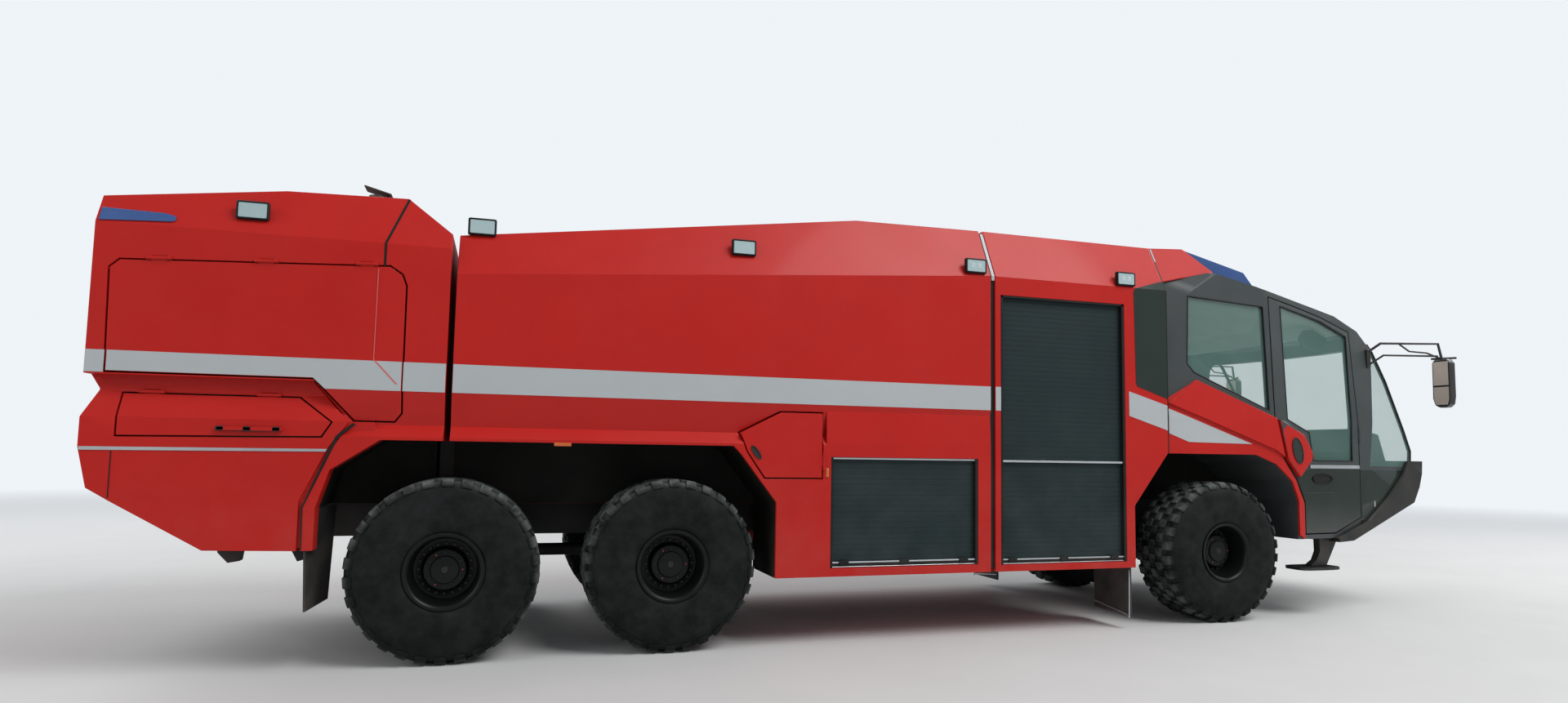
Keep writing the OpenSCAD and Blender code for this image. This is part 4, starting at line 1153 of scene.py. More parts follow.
@dataclass
class Shutters:
    """The four roller shutters with their slats, bottom bars and rails."""

    shop: Workshop
    plan: Plan
    pitch: float = 0.046
    slat_thick: float = 0.0036

    def build(self) -> None:
        """Builds all the shutters, the right ones and their mirror images."""
        plan, face = self.plan, -self.plan.half
        low_x = (plan.axle_mid + 1.32, plan.axle_mid + 2.715)
        tall_x = (plan.lock_x + 0.06, plan.lock_x + 1.40)
        curtains, rails, grips = [], [], []
        for x0, x1, z0, z1 in ((*low_x, 0.64, 1.57), (*tall_x, 0.63, 3.07)):
            curtains.append(self.curtain(x0, x1, z0, z1))
            rails += [self.rail(x0, x1, z0 + 0.038, 0.013), self.rail(x0, x1, z0 + 0.004, 0.008)]
            grips.append(block("sill", (x0 + 0.004, face + 0.016, z0 + 0.012),
                               (x1 - 0.004, face + 0.036, z0 + 0.038)))
            for at in (0.09, 0.49, 0.90):
                x = x0 + at * (x1 - x0)
                grips.append(block("grip", (x - 0.045, face + 0.002, z0 + 0.020),
                                   (x + 0.045, face + 0.030, z0 + 0.060), 0.008))
            edges = [((x0 + 0.001, z0), (x0 + 0.020, z1)), ((x1 - 0.026, z0), (x1 - 0.001, z1))]
            if z1 > 2:
                edges.append(((x0 + 0.001, z1 - 0.018), (x1 - 0.001, z1 - 0.001)))
            grips += [block("edge", (low_x0, face + 0.003, low_z), (high_x1, face + 0.042, high_z))
                      for (low_x0, low_z), (high_x1, high_z) in edges]
        rails += [self.rail(*low_x, 1.553, 0.017), self.rail(*tall_x, 1.545, 0.019)]
        for name, parts, finish, replaced in (("shutter_slats", curtains, Finishes.shutter, ["shutters"]),
                                              ("shutter_rails", rails, Finishes.trim, []),
                                              ("shutter_grips", grips, Finishes.seal, [])):
            self.shop.deliver_pair(name, parts, finish, replaced)

    def curtain(self, x0: float, x1: float, z0: float, z1: float) -> Obj:
        """The slats of one shutter."""
        foot = 0.05
        count = round((z1 - z0 - foot) / self.pitch)
        step = (z1 - z0 - foot) / count
        back = -self.plan.half + 0.045
        shy = back - self.slat_thick + 0.0012
        crown = [(back, 0.0), (back - 0.003, 0.0), (shy, step * 0.08), (back - self.slat_thick, step * 0.5),
                 (shy, step * 0.90), (back - 0.003, step * 0.97), (back, step)]
        slat = drawn("slats", [(y, z + z0 + foot) for y, z in crown], x0 + 0.002, x1 - 0.002, Across.X)
        in_row(slat, count, (0, 0, step))
        bottom = block("bottom", (x0 + 0.002, back - 0.022, z0), (x1 - 0.002, back, z0 + foot), 0.004)
        return joined("curtain", [slat, bottom])

    def rail(self, x0: float, x1: float, z: float, tall: float) -> Obj:
        """A bright rail along a shutter."""
        face = -self.plan.half
        return block("rail", (x0 + 0.004, face + 0.012, z), (x1 - 0.004, face + 0.034, z + tall), 0.004)


@dataclass
class Wheels:
    """Six tyres with block tread, and their rims, hubs and bolts."""

    shop: Workshop
    plan: Plan
    width: float = 0.56
    bead: float = 0.26
    blocks: int = 30

    @property
    def radius(self) -> float:
        """The radius over the lugs."""
        return self.plan.wheel_z

    def build(self) -> None:
        """Models one wheel at the origin and copies it to the six places."""
        tyre = self.tyre()
        rim = self.rim()
        bolts = self.bolts()
        marks = self.marks()
        outer = self.plan.half - 0.01
        for axle, x in (("r", self.plan.axle_rear), ("m", self.plan.axle_mid), ("f", self.plan.axle_front)):
            # The pale grey dust on the tread is partly real dust and partly a painted highlight on the
            # lugs' edges.
            rubber = Finish(f"tyre_rubber_{axle}", "tyre", Sheen.RUBBER, (0.0060, 0.0080, 0.0074),
                            (0.6, 0.75), specular=0.12, grain_scale=160, grain_height=0.0008, dust=0.40,
                            axle_x=x, shade=0.85, dust_colour=(0.36, 0.40, 0.38))
            enamel = Finish(f"rim_enamel_{axle}", "rim_paint", Sheen.PLAIN, (0.006, 0.007, 0.007),
                            (0.30, 0.42), specular=0.2, grain_scale=120, grain_height=0.0004, dust=0.06,
                            axle_x=x, shade=0.85)
            for side in SIDES:
                key = axle + SIDE_NAMES[side]
                for source, name, finish, node in ((tyre, "tyre_tread", rubber, ["tyre_" + key]),
                                                   (rim, "rim_disc", enamel, ["rim_" + key]),
                                                   (bolts, "wheel_bolts", Finishes.bolt, []),
                                                   (marks, "bolt_marks", Finishes.bolt_mark, [])):
                    piece = copied(source, (x, -outer, self.plan.wheel_z), f"{name}_{key}")
                    if side > 0:
                        piece = sent_across(piece)
                    self.shop.deliver(piece, finish, "wheel_" + key, node, smooth=38.0)
        for obj in (tyre, rim, bolts, marks):
            bpy.data.objects.remove(obj)

    def tyre(self) -> Obj:
        """Carcass with rings on its wall, and blocks round its tread. The outer face is at y = 0."""
        wide, top, bead = self.width, self.radius, self.bead
        half = [(bead, 0.050), (bead + 0.004, 0.030), (bead + 0.030, 0.028), (bead + 0.040, 0.018),
                (bead + 0.075, 0.008), (bead + 0.125, 0.002), (bead + 0.175, 0.0005), (bead + 0.181, 0.002),
                (bead + 0.235, 0.005), (top - 0.135, 0.012), (top - 0.095, 0.022), (top - 0.062, 0.036),
                (top - 0.038, 0.056), (top - 0.024, 0.085)]
        profile = half + [(r, wide - y) for r, y in reversed(half)]
        carcass = turned("carcass", profile, 96)
        shoulder = [(0.128, top - 0.028), (0.128, top - 0.002), (0.082, top - 0.001), (0.052, top - 0.012),
                    (0.032, top - 0.040), (0.026, top - 0.064), (0.040, top - 0.066), (0.075, top - 0.038)]
        rows = [(drawn("lug", shoulder, -0.041, 0.041, Across.X, 0.006), 0.0),
                (drawn("lug", [(wide - y, z) for y, z in shoulder], -0.041, 0.041, Across.X, 0.006), 0.0)]
        for low, high, shift in ((0.146, 0.226, 0.5), (0.244, 0.316, 0.0), (0.334, 0.414, 0.5)):
            rows.append((block("lug", (-0.042, low, top - 0.030), (0.042, high, top - 0.0015), 0.008),
                         shift))
        blocks = []
        for obj, shift in rows:
            turn = turned_copy(obj, 360 * shift / self.blocks)
            bpy.data.objects.remove(obj)
            blocks.append(round_about(turn, self.blocks))
        return joined("tyre_source", [carcass, *blocks])

    def rim(self) -> Obj:
        """Rim with its flange, deep dish and hub."""
        r, wide = self.bead - 0.0005, self.width
        profile = [(r, 0.052), (r + 0.004, 0.029), (r + 0.020, 0.026), (r + 0.027, 0.020),
                   (r + 0.025, 0.013), (r + 0.014, 0.012), (r - 0.002, 0.020), (r - 0.012, 0.036),
                   (r - 0.018, 0.060), (r - 0.020, 0.15), (r - 0.030, 0.18), (r - 0.036, 0.232),
                   (r - 0.055, 0.236), (0.170, 0.228), (0.160, 0.170), (0.148, 0.152), (0.105, 0.146),
                   (0.098, 0.132), (0.060, 0.128), (0.0005, 0.128), (0.0005, 0.33), (0.150, 0.33),
                   (r - 0.03, 0.29), (r - 0.024, wide - 0.046), (r, wide - 0.046)]
        return turned("rim_source", profile, 72)

    def bolts(self) -> Obj:
        """Two rings of bolts, on the disc and on the hub."""
        big = rod("bolt", (0.188, 0.212, 0), (0.188, 0.233, 0), 0.012, 6, 0.002)
        small = rod("bolt", (0.126, 0.140, 0), (0.126, 0.151, 0), 0.007, 6, 0.0015)
        cap = turned("cap", [(0.0005, 0.122), (0.024, 0.122), (0.030, 0.129), (0.0005, 0.129)], 24)
        return joined("bolts_source", [round_about(big, 20), round_about(small, 12), cap])

    def marks(self) -> Obj:
        """Three small paint marks on the hub's bolts."""
        mark = rod("mark", (0.126, 0.1385, 0), (0.126, 0.1405, 0), 0.0055, 12, 0.0005)
        return round_about(mark, 3)


@dataclass
class Lamps:
    """Scene lamps, blue lamps, head lamps and tail lamps."""

    shop: Workshop
    plan: Plan

    def build(self) -> None:
        """Builds every lamp."""
        self.scene_lamps()
        self.blue_lamps()
        self.head_lamps()
        self.tail_lamps()

    def scene_lamps(self) -> None:
        """Rimmed flood lamps along both roof edges."""
        wide, tall = 0.21, 0.135
        shells, lenses, leds = [], [], []
        for spot, z0 in ((-3.08, 3.20), (-1.54, 3.25), (0.54, 3.25), (2.69, 3.25), (4.31, 3.25)):
            x, z1 = self.plan.axle_mid + spot, z0 + tall
            back = -self.plan.body_y(x + wide / 2, z0)
            face = back - 0.0299
            shell = block("shell", (x - wide / 2, face, z0), (x + wide / 2, back + 0.02, z1))
            edges_rounded(shell, 0.014, 3)
            dished(shell, (0, -1, 0), 0.003, 0.010)
            shells.append(shell)
            lenses.append(block("lens", (x - wide / 2 + 0.014, face + 0.006, z0 + 0.014),
                                (x + wide / 2 - 0.014, face + 0.012, z1 - 0.014), 0.005, 3))
            for at in (-0.034, 0.034) if spot > 2 else ():
                leds.append(block("led", (x + at - 0.018, face + 0.004, z0 + 0.046),
                                  (x + at + 0.018, face + 0.008, z1 - 0.046), 0.004, 2))
        for name, parts, finish, replaced in (("scene_lamp_shells", shells, Finishes.seal, ["scene_lamps"]),
                                              ("scene_lamp_lenses", lenses, Finishes.lens, []),
                                              ("scene_lamp_leds", leds, Finishes.reflector, [])):
            self.shop.deliver_pair(name, parts, finish, replaced)

    def blue_lamps(self) -> None:
        """Roof lamps over the cab, and tapered corner strips at the rear."""
        lamps = self.shop.softened("blue_lamps", Finishes.blue, 0.008)
        rear_x = self.plan.rear_x
        pick_faces(lamps, lambda face: face.calc_center_median().x < rear_x + 1.0)
        bpy.ops.mesh.delete(type="FACE")
        bpy.ops.object.mode_set(mode="OBJECT")
        outline = shifted(rear_x, (0.020, 3.108), (0.445, 3.134), (0.460, 3.146), (0.464, 3.164),
                          (0.448, 3.182), (0.390, 3.197), (0.020, 3.206))
        strip = skin("corner_strip", outline, self.plan.body_y, 0.012, thick=0.013)
        edges_rounded(strip, 0.004)
        self.shop.deliver_pair("corner_strips", [strip], Finishes.blue)

    def head_lamps(self) -> None:
        """Pale lamp units in the bumper."""
        self.shop.softened("head_lamps", Finishes.lens, 0.006)

    def tail_lamps(self) -> None:
        """Red lamp clusters in the rear corners."""
        low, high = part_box("tail_lamps")
        parts = []
        for side in SIDES:
            y = side * (high.y + 1.153) / 2
            shell = block("tail", (low.x, y - 0.115, low.z), (high.x, y + 0.115, high.z), 0.008, 2)
            dished(shell, (-1, 0, 0), 0.008, 0.006)
            parts.append(shell)
            for at in (-0.072, 0.0, 0.072):
                parts.append(rod("lens", (low.x + 0.008, y + at, 1.67), (low.x + 0.001, y + at, 1.67),
                                 0.031, 24, 0.002))
        self.shop.deliver(joined("tail_lamp_units", parts), Finishes.tail, replaces=["tail_lamps"])


@dataclass
class Cab:
    """The cab: its skin, glass, frames, doors, mirrors, seats and controls."""

    shop: Workshop
    plan: Plan

    def build(self) -> None:
        """Builds every piece of the cab."""
        shop = self.shop
        self.gloss_nose(shop.softened("cab_shell", Finishes.cab, 0.006))
        self.head_lining()
        shop.softened("bumper", Finishes.bumper, 0.010)
        for letter in SIDE_NAMES.values():
            shop.softened("cab_door_" + letter, Finishes.cab, 0.005)
            shop.dress("door_glass_" + letter, Finishes.glass)
        shop.dress("cab_glass", Finishes.glass)
        self.lower_doors()
        self.window_seals()
        self.windscreen_border_and_shade()
        self.mirrors()
        self.seats()
        self.controls()
        self.steps()

    def gloss_nose(self, shell: Obj) -> None:
        """Gives the shell's lower nose, ahead of the doors, the same dark gloss as their lower halves."""
        front, top = self.plan.axle_front + 1.94, 1.507
        mesh_op(shell, lambda: bpy.ops.mesh.bisect(plane_co=(0, 0, top), plane_no=(0, 0, 1)))
        mesh_op(shell, lambda: bpy.ops.mesh.bisect(plane_co=(front, 0, 0), plane_no=(1, 0, 0)))
        shell.data.materials.append(Finishes.cab_black.material(self.shop.effects))
        for face in shell.data.polygons:
            if face.center.x > front and face.center.z < top:
                face.material_index = 1

    def head_lining(self) -> None:
        """The pale lining under the cab's roof."""
        x0 = self.plan.axle_front
        under = [(self.plan.cab_x + 0.075, 3.262), *shifted(x0, (-0.06, 3.418), (0.55, 3.33), (0.97, 3.245),
                                                            (1.60, 3.108), (1.92, 2.985))]
        over = [(x, z + 0.006) for x, z in reversed(under)]
        self.shop.deliver(drawn("head_lining", [*under, *over], -1.20, 1.20), Finishes.lining, smooth=0)

    def lower_doors(self) -> None:
        """The gloss dark lower half of each door with its trim, and the wing tip that rides on the door."""
        plan, x0 = self.plan, self.plan.axle_front
        outward_r = (0, -1, 0)
        panel = shifted(x0, (1.078, 0.855), (1.518, 0.855), (1.927, 1.008), (1.927, 1.505), (0.99, 1.505),
                        (0.965, 1.413), (1.078, 1.17))
        crease = shifted(x0, (1.08, 1.262), (1.50, 1.268), (1.50, 1.272), (1.08, 1.267))
        tip = shifted(x0, (0.688, 2.012), (1.037, 1.864), (1.152, 1.691), (1.152, 1.612), (0.965, 1.425),
                      (0.798, 1.605))
        rows = (("lower_door_panel", panel, 0.004, 0.006, Finishes.cab_black, lambda obj: obj),
                ("door_ledge", oblong(x0 + 1.155, x0 + 1.92, 1.520, 1.556), 0.014, 0.016, Finishes.trim,
                 lambda obj: edges_rounded(obj, 0.005)),
                ("door_grip", oval(x0 + 1.34, 1.412, 0.055, 0.15, 0), 0.016, 0.014, Finishes.seal,
                 lambda obj: dished(obj, outward_r, 0.012, 0.006)),
                ("door_crease", crease, 0.006, 0.004, Finishes.cab, lambda obj: obj),
                ("wing_tip", tip, 0.053, 0.056, Finishes.red, lambda obj: edges_rounded(obj, 0.012, 3)),
                ("wing_recess", oval(x0 + 0.925, 1.700, 0.138, 0.070, 16), 0.062, 0.012, Finishes.cab_black,
                 lambda obj: dished(obj, outward_r, 0.007, 0.005)))
        for side in SIDES:
            letter = SIDE_NAMES[side]
            for name, outline, proud, thick, finish, shaped in rows:
                piece = shaped(skin(f"{name}_{letter}", outline, plan.cab_y, proud, thick=thick))
                if side > 0:
                    piece = sent_across(piece)
                self.shop.deliver(piece, finish, "door_" + letter,
                                  smooth=0 if name.startswith("lower") else 32)

    def window_seals(self) -> None:
        """Rubber beads round the side windows and the door windows."""
        plan, x0 = self.plan, self.plan.axle_front
        door = [(0.90, 3.22), (1.49, 3.10), (1.885, 2.955), (1.825, 1.60), (1.215, 1.60), (1.165, 1.89),
                (0.85, 2.02)]
        side = [(-0.30, 3.24), (0.65, 3.19), (0.61, 2.105), (-0.30, 2.46), (-0.375, 2.545)]
        for name, outline, body in (("door_seal", door, "door_{}"), ("side_seal", side, "vehicle")):
            points = [(x0 + x, -(plan.cab_y(x0 + x, z) - 0.004), z) for x, z in outline]
            right = tube(name + "_r", [*points, points[0]], 0.009)
            left = mirrored(right, name + "_l")
            for obj, letter in ((right, "r"), (left, "l")):
                self.shop.deliver(obj, Finishes.seal, body.format(letter))

    def windscreen_border_and_shade(self) -> None:
        """Dark lines down the windscreen's two corners, partly its black bonded border and partly painted
        shade where the curved glass is seen edge-on, and a small marker low on the nose.
        """
        x0, x1 = self.plan.axle_front + 0.23, self.plan.axle_front + 2.15
        knots = [(2.705, 1.57), (2.715, 1.72), (2.62, 1.96), (2.50, 2.225), (2.38, 2.49), (2.19, 2.82),
                 (2.12, 2.90)]
        # Thick dark tubes: partly the black border, partly painted shade of the glass seen edge-on.
        lines = [tube("line", [(x0 + x, side * 1.105, z) for x, z in knots], 0.020) for side in SIDES]
        self.shop.deliver(joined("windscreen_border_and_shade", lines), Finishes.seal)
        marker = skin("nose_marker", oblong(x1, x1 + 0.014, 1.115, 1.175), self.plan.cab_y, 0.005,
                      thick=0.012)
        self.shop.deliver_pair("nose_markers", [marker], Finishes.stripe, smooth=0)

    def mirrors(self) -> None:
        """Mirror arms and heads on the front corners."""
        x0 = self.plan.axle_front
        upper = shifted(x0, (2.19, -1.24, 2.79), (2.235, -1.38, 2.885), (2.945, -1.49, 2.905),
                        (2.985, -1.50, 2.72))
        lower = shifted(x0, (2.21, -1.25, 2.66), (2.26, -1.39, 2.755), (2.93, -1.49, 2.768))
        brace = shifted(x0, (2.45, -1.415, 2.892), (2.58, -1.435, 2.81), (2.80, -1.465, 2.80),
                        (2.96, -1.495, 2.745))
        shell = [(-1.575, 2.735), (-1.440, 2.735), (-1.410, 2.700), (-1.408, 2.300), (-1.430, 2.225),
                 (-1.480, 2.200), (-1.560, 2.200), (-1.600, 2.235), (-1.614, 2.320), (-1.614, 2.690)]
        dark = [tube("arm", upper, 0.014), tube("arm", lower, 0.011), tube("arm", brace, 0.010),
                rod("bracket", (x0 + 2.95, -1.40, 2.745), (x0 + 3.07, -1.60, 2.745), 0.012, 10, 0.003),
                block("foot", (x0 + 2.175, -1.27, 2.63), (x0 + 2.225, -1.22, 2.83), 0.010, 3),
                drawn("head", shell, x0 + 2.940, x0 + 3.030, Across.X, 0.016)]
        faces = []
        # The mirror glass, its colour a painted reflection.
        for z1, z2, pull in ((2.445, 2.705, 0.0), (2.232, 2.425, 0.016)):
            glass = [(-1.593 + pull, z1), (-1.428 - pull, z1), (-1.428, z1 + 0.06), (-1.428, z2),
                     (-1.593, z2), (-1.593, z1 + 0.06)]
            faces.append(drawn("face", glass, x0 + 2.937, x0 + 2.942, Across.X, 0.001))
        self.shop.deliver_pair("mirror_arms", dark, Finishes.mirror_black, ["mirrors"])
        self.shop.deliver_pair("mirror_faces", faces, Finishes.painted_mirror_reflection)

    def cushion(self, low: Point3, high: Point3, crown: float, lean: float = 0.0) -> Obj:
        """A padded block, crowned, pulled in at its corners and blown up as cloth.

        Args:
            low: its lowest corner.
            high: its highest corner.
            crown: how far its middle stands out.
            lean: how far it leans forward for each unit of height.

        Returns:
            The cushion.
        """
        obj = block("cushion", low, high)
        mesh_op(obj, lambda: bpy.ops.mesh.subdivide(number_cuts=5))
        middle = [(a + b) / 2 for a, b in zip(low, high)]
        size = [(b - a) / 2 for a, b in zip(low, high)]

        def leant(x: float, y: float, z: float) -> Point3:
            """A point moved by the lean."""
            return x + lean * (z - low[2]), y, z

        for vertex in obj.data.vertices:
            u, v, w = ((vertex.co[i] - middle[i]) / size[i] for i in range(3))
            pinch = 1 - 0.06 * (u * u * v * v + v * v * w * w + u * u * w * w)
            x = middle[0] + size[0] * u * pinch + crown * 0.6 * u * (1 - v * v) * (1 - w * w)
            y = middle[1] + size[1] * v * pinch + crown * 0.4 * v * (1 - u * u) * (1 - w * w)
            z = middle[2] + size[2] * w * pinch + crown * w * (1 - u * u) * (1 - v * v)
            vertex.co = leant(x, y, z)
        return self.blown_up(obj, 0.022)

    @staticmethod
    def blown_up(obj: Obj, cap: float) -> Obj:
        """Runs a closed piece as cloth under pressure, each point moving no further than a cap."""
        with_modifier(obj, "REMESH", mode="VOXEL", voxel_size=CLOTH_VOXEL)
        starts = [vertex.co.copy() for vertex in obj.data.vertices]
        only(obj)
        cloth = obj.modifiers.new("cloth", "CLOTH")
        cloth.settings.use_pressure = True
        cloth.settings.uniform_pressure_force = CLOTH_PRESSURE
        cloth.settings.effector_weights.gravity = 0.0
        for frame in range(1, CLOTH_FRAMES + 1):
            bpy.context.scene.frame_set(frame)
        bpy.ops.object.modifier_apply(modifier=cloth.name)
        bpy.context.scene.frame_set(1)
        for vertex, start in zip(obj.data.vertices, starts):
            step = vertex.co - start
            if step.length > cap:
                vertex.co = start + step * (cap / step.length)
        return with_modifier(obj, "SUBSURF", levels=1, render_levels=1)

    def seats(self) -> None:
        """Three seats, each with a padded cushion, back and head rest on a plain base."""
        x0 = self.plan.axle_front
        seat = self.cushion((-0.245, -0.245, 0.345), (0.245, 0.245, 0.44), 0.014)
        back = self.cushion((-0.245, -0.23, 0.46), (-0.135, 0.23, 1.06), 0.014, -0.17)
        rest = self.cushion((-0.38, -0.13, 1.115), (-0.29, 0.13, 1.27), 0.010)
        channel = ((-0.138, -0.19), (-0.120, 0.0), (-0.138, 0.19))
        rows = [tube("channel", [(x - 0.17 * (z - 0.46), y, z) for x, y in channel], 0.004, smooth=True)
                for z in (0.62, 0.84)]
        pads = joined("pads", [seat, back, rest, *rows])
        for index, place in enumerate(((1.33, 0.0, 1.21), (-0.12, -0.76, 1.72), (-0.12, 0.76, 1.72))):
            at = Vector((x0 + place[0], *place[1:]))
            base = block("base", at + Vector((-0.22, -0.19, 0)), at + Vector((0.22, 0.19, 0.33)), 0.012)
            posts = [rod("post", at + Vector((-0.33, s, 1.05)), at + Vector((-0.335, s, 1.13)), 0.010, 10)
                     for s in (-0.08, 0.08)]
            hard = self.shop.deliver(joined(f"seat_base_{index}", [base, *posts]), Finishes.interior)
            if index == 0:
                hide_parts("seats")
            pad = copied(pads, at, f"seat_pad_{index}")
            self.shop.deliver(pad, Finishes.cloth, smooth=60)
        bpy.data.objects.remove(pads)

    def controls(self) -> None:
        """Dash, steering wheel and sun visors."""
        x0 = self.plan.axle_front
        self.shop.softened("dash", Finishes.interior, 0.012)
        self.shop.softened("steering_wheel", Finishes.leather, 0.002, 0.02)
        outline = shifted(x0, (1.42, 2.94), (1.50, 3.03), (1.62, 3.04), (1.80, 2.97), (1.84, 2.90),
                          (1.76, 2.84), (1.62, 2.81), (1.47, 2.85))
        visors = [drawn("visor", outline, side * 1.06 - 0.008, side * 1.06 + 0.008, bevel=0.006)
                  for side in SIDES]
        self.shop.deliver(joined("sun_visors", visors), Finishes.leather)

    def steps(self) -> None:
        """The hanging entry steps: one broad leg and a rounded foot plate each."""
        x0 = self.plan.axle_front

        def squared(share: float) -> float:
            """A share of the plate's half size that keeps its outline between an oval and an oblong."""
            return math.copysign(abs(share) ** 0.5, share)

        leg = shifted(x0, (1.385, 0.795), (1.640, 0.795), (1.600, 0.715), (1.480, 0.505), (1.265, 0.495),
                      (1.275, 0.518), (1.345, 0.560), (1.390, 0.650))
        plate = [(x0 + 1.325 + 0.27 * squared(math.cos(a)), -1.25 + 0.15 * squared(math.sin(a)))
                 for a in (math.tau * i / 32 for i in range(32))]
        rib = block("rib", (x0 + 1.09, -1.375, 0.4975), (x0 + 1.102, -1.125, 0.5015), 0.001, 1)
        parts = [drawn("leg", leg, -1.29, -1.21, bevel=0.006),
                 drawn("plate", plate, 0.468, 0.498, Across.Z, 0.006), in_row(rib, 11, (0.044, 0, 0))]
        self.shop.deliver_pair("entry_steps", parts, Finishes.step, ["steps"])


@dataclass
class Chassis:
    """What shows underneath: frame, axles, driveline, liners and flaps."""

    shop: Workshop
    plan: Plan

    def build(self) -> None:
        """Dresses the nodes below the body and the turret's moving ones, and builds flaps and linings."""
        shop = self.shop
        shop.softened("frame", Finishes.chassis, 0.006)
        for node, finish in (("rear_axles", Finishes.axle), ("front_axle", Finishes.axle),
                             ("knuckle_r", Finishes.axle), ("knuckle_l", Finishes.axle),
                             ("driveline", Finishes.drive), ("engine", Finishes.engine),
                             ("arch_liners", Finishes.liner), ("exhaust", Finishes.exhaust),
                             ("turret_head", Finishes.red), ("turret_barrel", Finishes.turret)):
            shop.dress(node, finish)
        self.linings()
        shop.softened("rear_grille", Finishes.grille, 0.004)
        self.mudflaps()

    def mudflaps(self) -> None:
        """Rubber flaps behind the wheels, the front ones in a wire frame."""
        plan = self.plan
        x1, x2 = plan.axle_rear - 0.94, plan.axle_front - 1.15
        sheet = flat("flap", shifted(x1, (0.004, -1.486, 1.15), (0.115, -0.93, 1.15), (0.090, -0.93, 0.441),
                                     (0.035, -1.486, 0.434)))
        rear = with_modifier(sheet, "SOLIDIFY", thickness=0.012, offset=0.0)
        front = block("front", (x2, -plan.half + 0.01, 0.125), (x2 + 0.012, -0.93, 0.58), 0.003)
        wires = [tube("wire", shifted(x2, *path), 0.006) for path in (
            [(-0.012, -0.94, 0.19), (-0.012, -1.44, 0.135), (-0.012, -1.485, 0.11)],
            [(-0.012, -1.482, 0.11), (-0.006, -1.482, 0.43), (0.006, -1.47, 0.55)])]
        self.shop.deliver_pair("mudflap_sheets", [rear, front], Finishes.flap, ["mudflaps"])
        self.shop.deliver_pair("flap_wires", wires, Finishes.trim)

    def linings(self) -> None:
        """Black linings on the inside of the middle and front wheel arches, and the floor between them."""
        plan, thick, low_z = self.plan, 0.003, 1.152
        mid = [(plan.tank_x + 0.002, 1.65), *shifted(plan.axle_mid, (0.47, 1.65), (0.53, 1.59),
                                                     (0.84, 1.19), (0.84, 0.575))]
        front = [(plan.axle_front - 1.09, 0.575), (plan.axle_front - 1.09, 1.15),
                 (plan.gap_lock - 0.002, 1.645)]
        mid_back = [(x - thick * (i > 0), z - thick) for i, (x, z) in enumerate(mid)]
        front_back = [(x + thick, z - thick * (i > 1)) for i, (x, z) in enumerate(front)]
        parts = []
        for outline, back, end in ((mid, mid_back, mid[0][0]), (front, front_back, front[-1][0])):
            parts.append(drawn("sheet", [*outline, *reversed(back)], -plan.half + 0.03, -0.801))
            wall = [(x, max(z, low_z)) for x, z in outline]
            parts.append(drawn("wall", [*wall, (end, low_z)], -0.805, -0.801))
        floor = (plan.tank_x + 0.002, -0.80, 1.147), (plan.gap_tank - 0.002, 0.0, 1.150)
        parts.append(block("floor", *floor))
        self.shop.deliver_pair("arch_linings", parts, Finishes.liner, smooth=0)


# Camera, floor and light

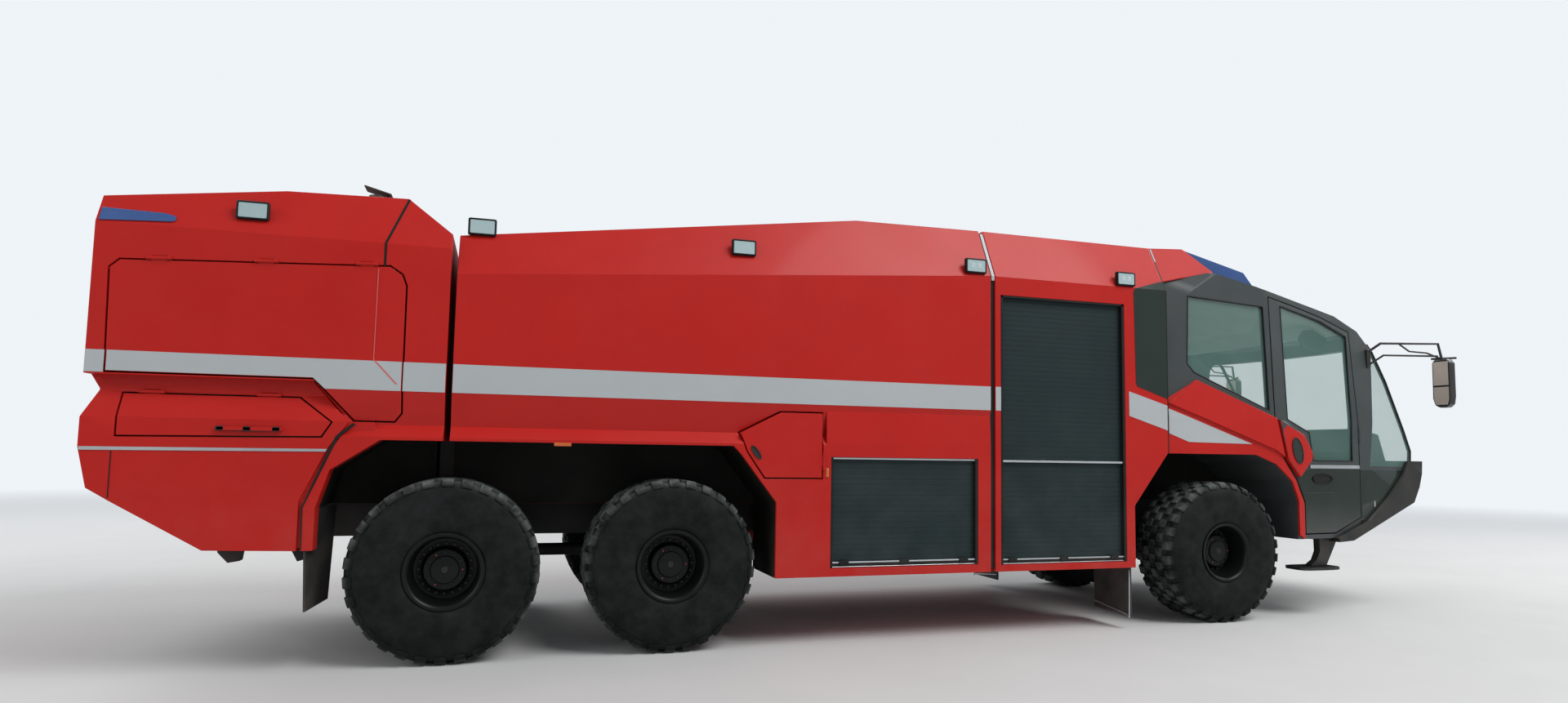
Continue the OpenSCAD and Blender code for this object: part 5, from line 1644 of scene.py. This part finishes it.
@dataclass
class Studio:
    """Camera, floor and light."""

    place: Point3 = (-3.689, -8.723, 1.603)
    yaw: float = 18.23
    pitch: float = 4.60
    roll: float = 0.857
    focal_px: float = 1107.9
    centre_px: Point2 = (25.3, 34.9)
    sensor: float = 36.0
    floor_colour: Point3 = (0.62, 0.62, 0.61)
    sky: Point3 = (0.86, 0.90, 0.94)
    sky_light: Point3 = (0.90, 0.94, 1.0)

    def build(self) -> None:
        """Sets up the studio."""
        self.camera()
        self.floor()
        self.world()
        self.lights()
        bpy.context.scene.view_settings.view_transform = "Standard"

    def camera(self) -> None:
        """The camera where the photograph was taken."""
        yaw, pitch, roll = (math.radians(a) for a in (self.yaw, self.pitch, self.roll))
        ahead = Vector((math.sin(yaw) * math.cos(pitch), math.cos(yaw) * math.cos(pitch), math.sin(pitch)))
        right = Vector((math.cos(yaw), -math.sin(yaw), 0.0))
        up = right.cross(ahead)
        level_right = math.cos(roll) * right + math.sin(roll) * up
        level_up = -math.sin(roll) * right + math.cos(roll) * up
        data = bpy.data.cameras.new("camera")
        data.sensor_width = self.sensor
        data.lens = self.focal_px / PHOTO_WIDTH * self.sensor
        data.shift_x = -self.centre_px[0] / PHOTO_WIDTH
        data.shift_y = self.centre_px[1] / PHOTO_WIDTH
        data.clip_end = 500
        obj = bpy.data.objects.new("camera", data)
        bpy.context.scene.collection.objects.link(obj)
        turn = Matrix((level_right, level_up, -ahead)).transposed().to_4x4()
        obj.matrix_world = Matrix.Translation(self.place) @ turn
        bpy.context.scene.camera = obj

    def floor(self) -> None:
        """A wide pale floor that keeps the vehicle's shadow."""
        clear()
        bpy.ops.mesh.primitive_circle_add(vertices=64, radius=240, fill_type="NGON")
        obj = bpy.context.object
        obj.name = "floor"
        material = bpy.data.materials.new("pale_floor")
        material.use_nodes = True
        sketch = Sketch(material.node_tree)
        shader = material.node_tree.nodes["Principled BSDF"]
        place = sketch.add("ShaderNodeTexCoord").outputs["Object"]
        patch = sketch.ramp(sketch.noise(place, 0.8, 6.0, 0.6), 0.3, 0.7)
        low = (*(c * 0.95 for c in self.floor_colour), 1.0)
        tint = sketch.mix(patch, low, (*self.floor_colour, 1.0))
        material.node_tree.links.new(tint, shader.inputs["Base Color"])
        shader.inputs["Roughness"].default_value = 0.85
        far = sketch.ramp(sketch.add("ShaderNodeVectorMath", {"operation": "LENGTH"},
                                     in0=place).outputs["Value"], 10.0, 34.0)
        seen = sketch.add("ShaderNodeLightPath").outputs["Is Camera Ray"]
        haze = sketch.add("ShaderNodeEmission", None, Color=(*self.sky, 1.0), Strength=1.0)
        blend = sketch.add("ShaderNodeMixShader", None, in0=sketch.math("MULTIPLY", far, seen),
                           in1=shader.outputs[0], in2=haze.outputs[0])
        out = material.node_tree.nodes["Material Output"]
        material.node_tree.links.new(blend.outputs[0], out.inputs["Surface"])
        obj.data.materials.append(material)

    def world(self) -> None:
        """A plain pale surround, brighter to the camera and through glass than as light on the vehicle."""
        world = bpy.data.worlds.new("surround")
        bpy.context.scene.world = world
        world.use_nodes = True
        world.node_tree.nodes.clear()
        sketch = Sketch(world.node_tree)
        seen = sketch.add("ShaderNodeBackground", None, Color=(*self.sky, 1.0), Strength=1.0)
        lit = sketch.add("ShaderNodeBackground", None, Color=(*self.sky_light, 1.0), Strength=0.42)
        rays = sketch.add("ShaderNodeLightPath").outputs
        either = sketch.math("MAXIMUM", rays["Is Camera Ray"], rays["Is Transmission Ray"])
        blend = sketch.add("ShaderNodeMixShader", None, in0=either, in1=lit.outputs[0], in2=seen.outputs[0])
        sketch.add("ShaderNodeOutputWorld", None, Surface=blend.outputs[0])

    def lights(self) -> None:
        """Large soft lamps: one high in front of the near side, and fills round the vehicle."""
        for name, place, size, watts in (("key", (9, -13, 19), 14, 3700),
                                         ("fill_left", (-12, 13, 14), 16, 1700),
                                         ("fill_front", (20, 0, 11), 12, 1300),
                                         ("rear", (-19, -8, 9), 12, 700)):
            data = bpy.data.lights.new(name, "AREA")
            data.shape = "DISK"
            data.size = size
            data.energy = watts
            obj = bpy.data.objects.new(name, data)
            bpy.context.scene.collection.objects.link(obj)
            obj.location = place
            aim = Vector((0, 0, 1.5)) - Vector(place)
            obj.rotation_mode = "QUATERNION"
            obj.rotation_quaternion = aim.to_track_quat("-Z", "Y")


def main() -> None:
    """Builds the scene in order."""
    logging.basicConfig(level=logging.INFO, format="%(message)s", stream=sys.stdout)
    for obj in list(bpy.data.objects):
        bpy.data.objects.remove(obj)
    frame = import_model()
    shop = Workshop(frame, Effects())
    Studio().build()
    plan = Plan.from_frame()
    Body(shop, plan).build()
    Shutters(shop, plan).build()
    Wheels(shop, plan).build()
    Lamps(shop, plan).build()
    Cab(shop, plan).build()
    Chassis(shop, plan).build()
    clear()
    LOG.info("%d pieces made", shop.count)
    bpy.context.view_layer.update()


if __name__ == "__main__":
    main()
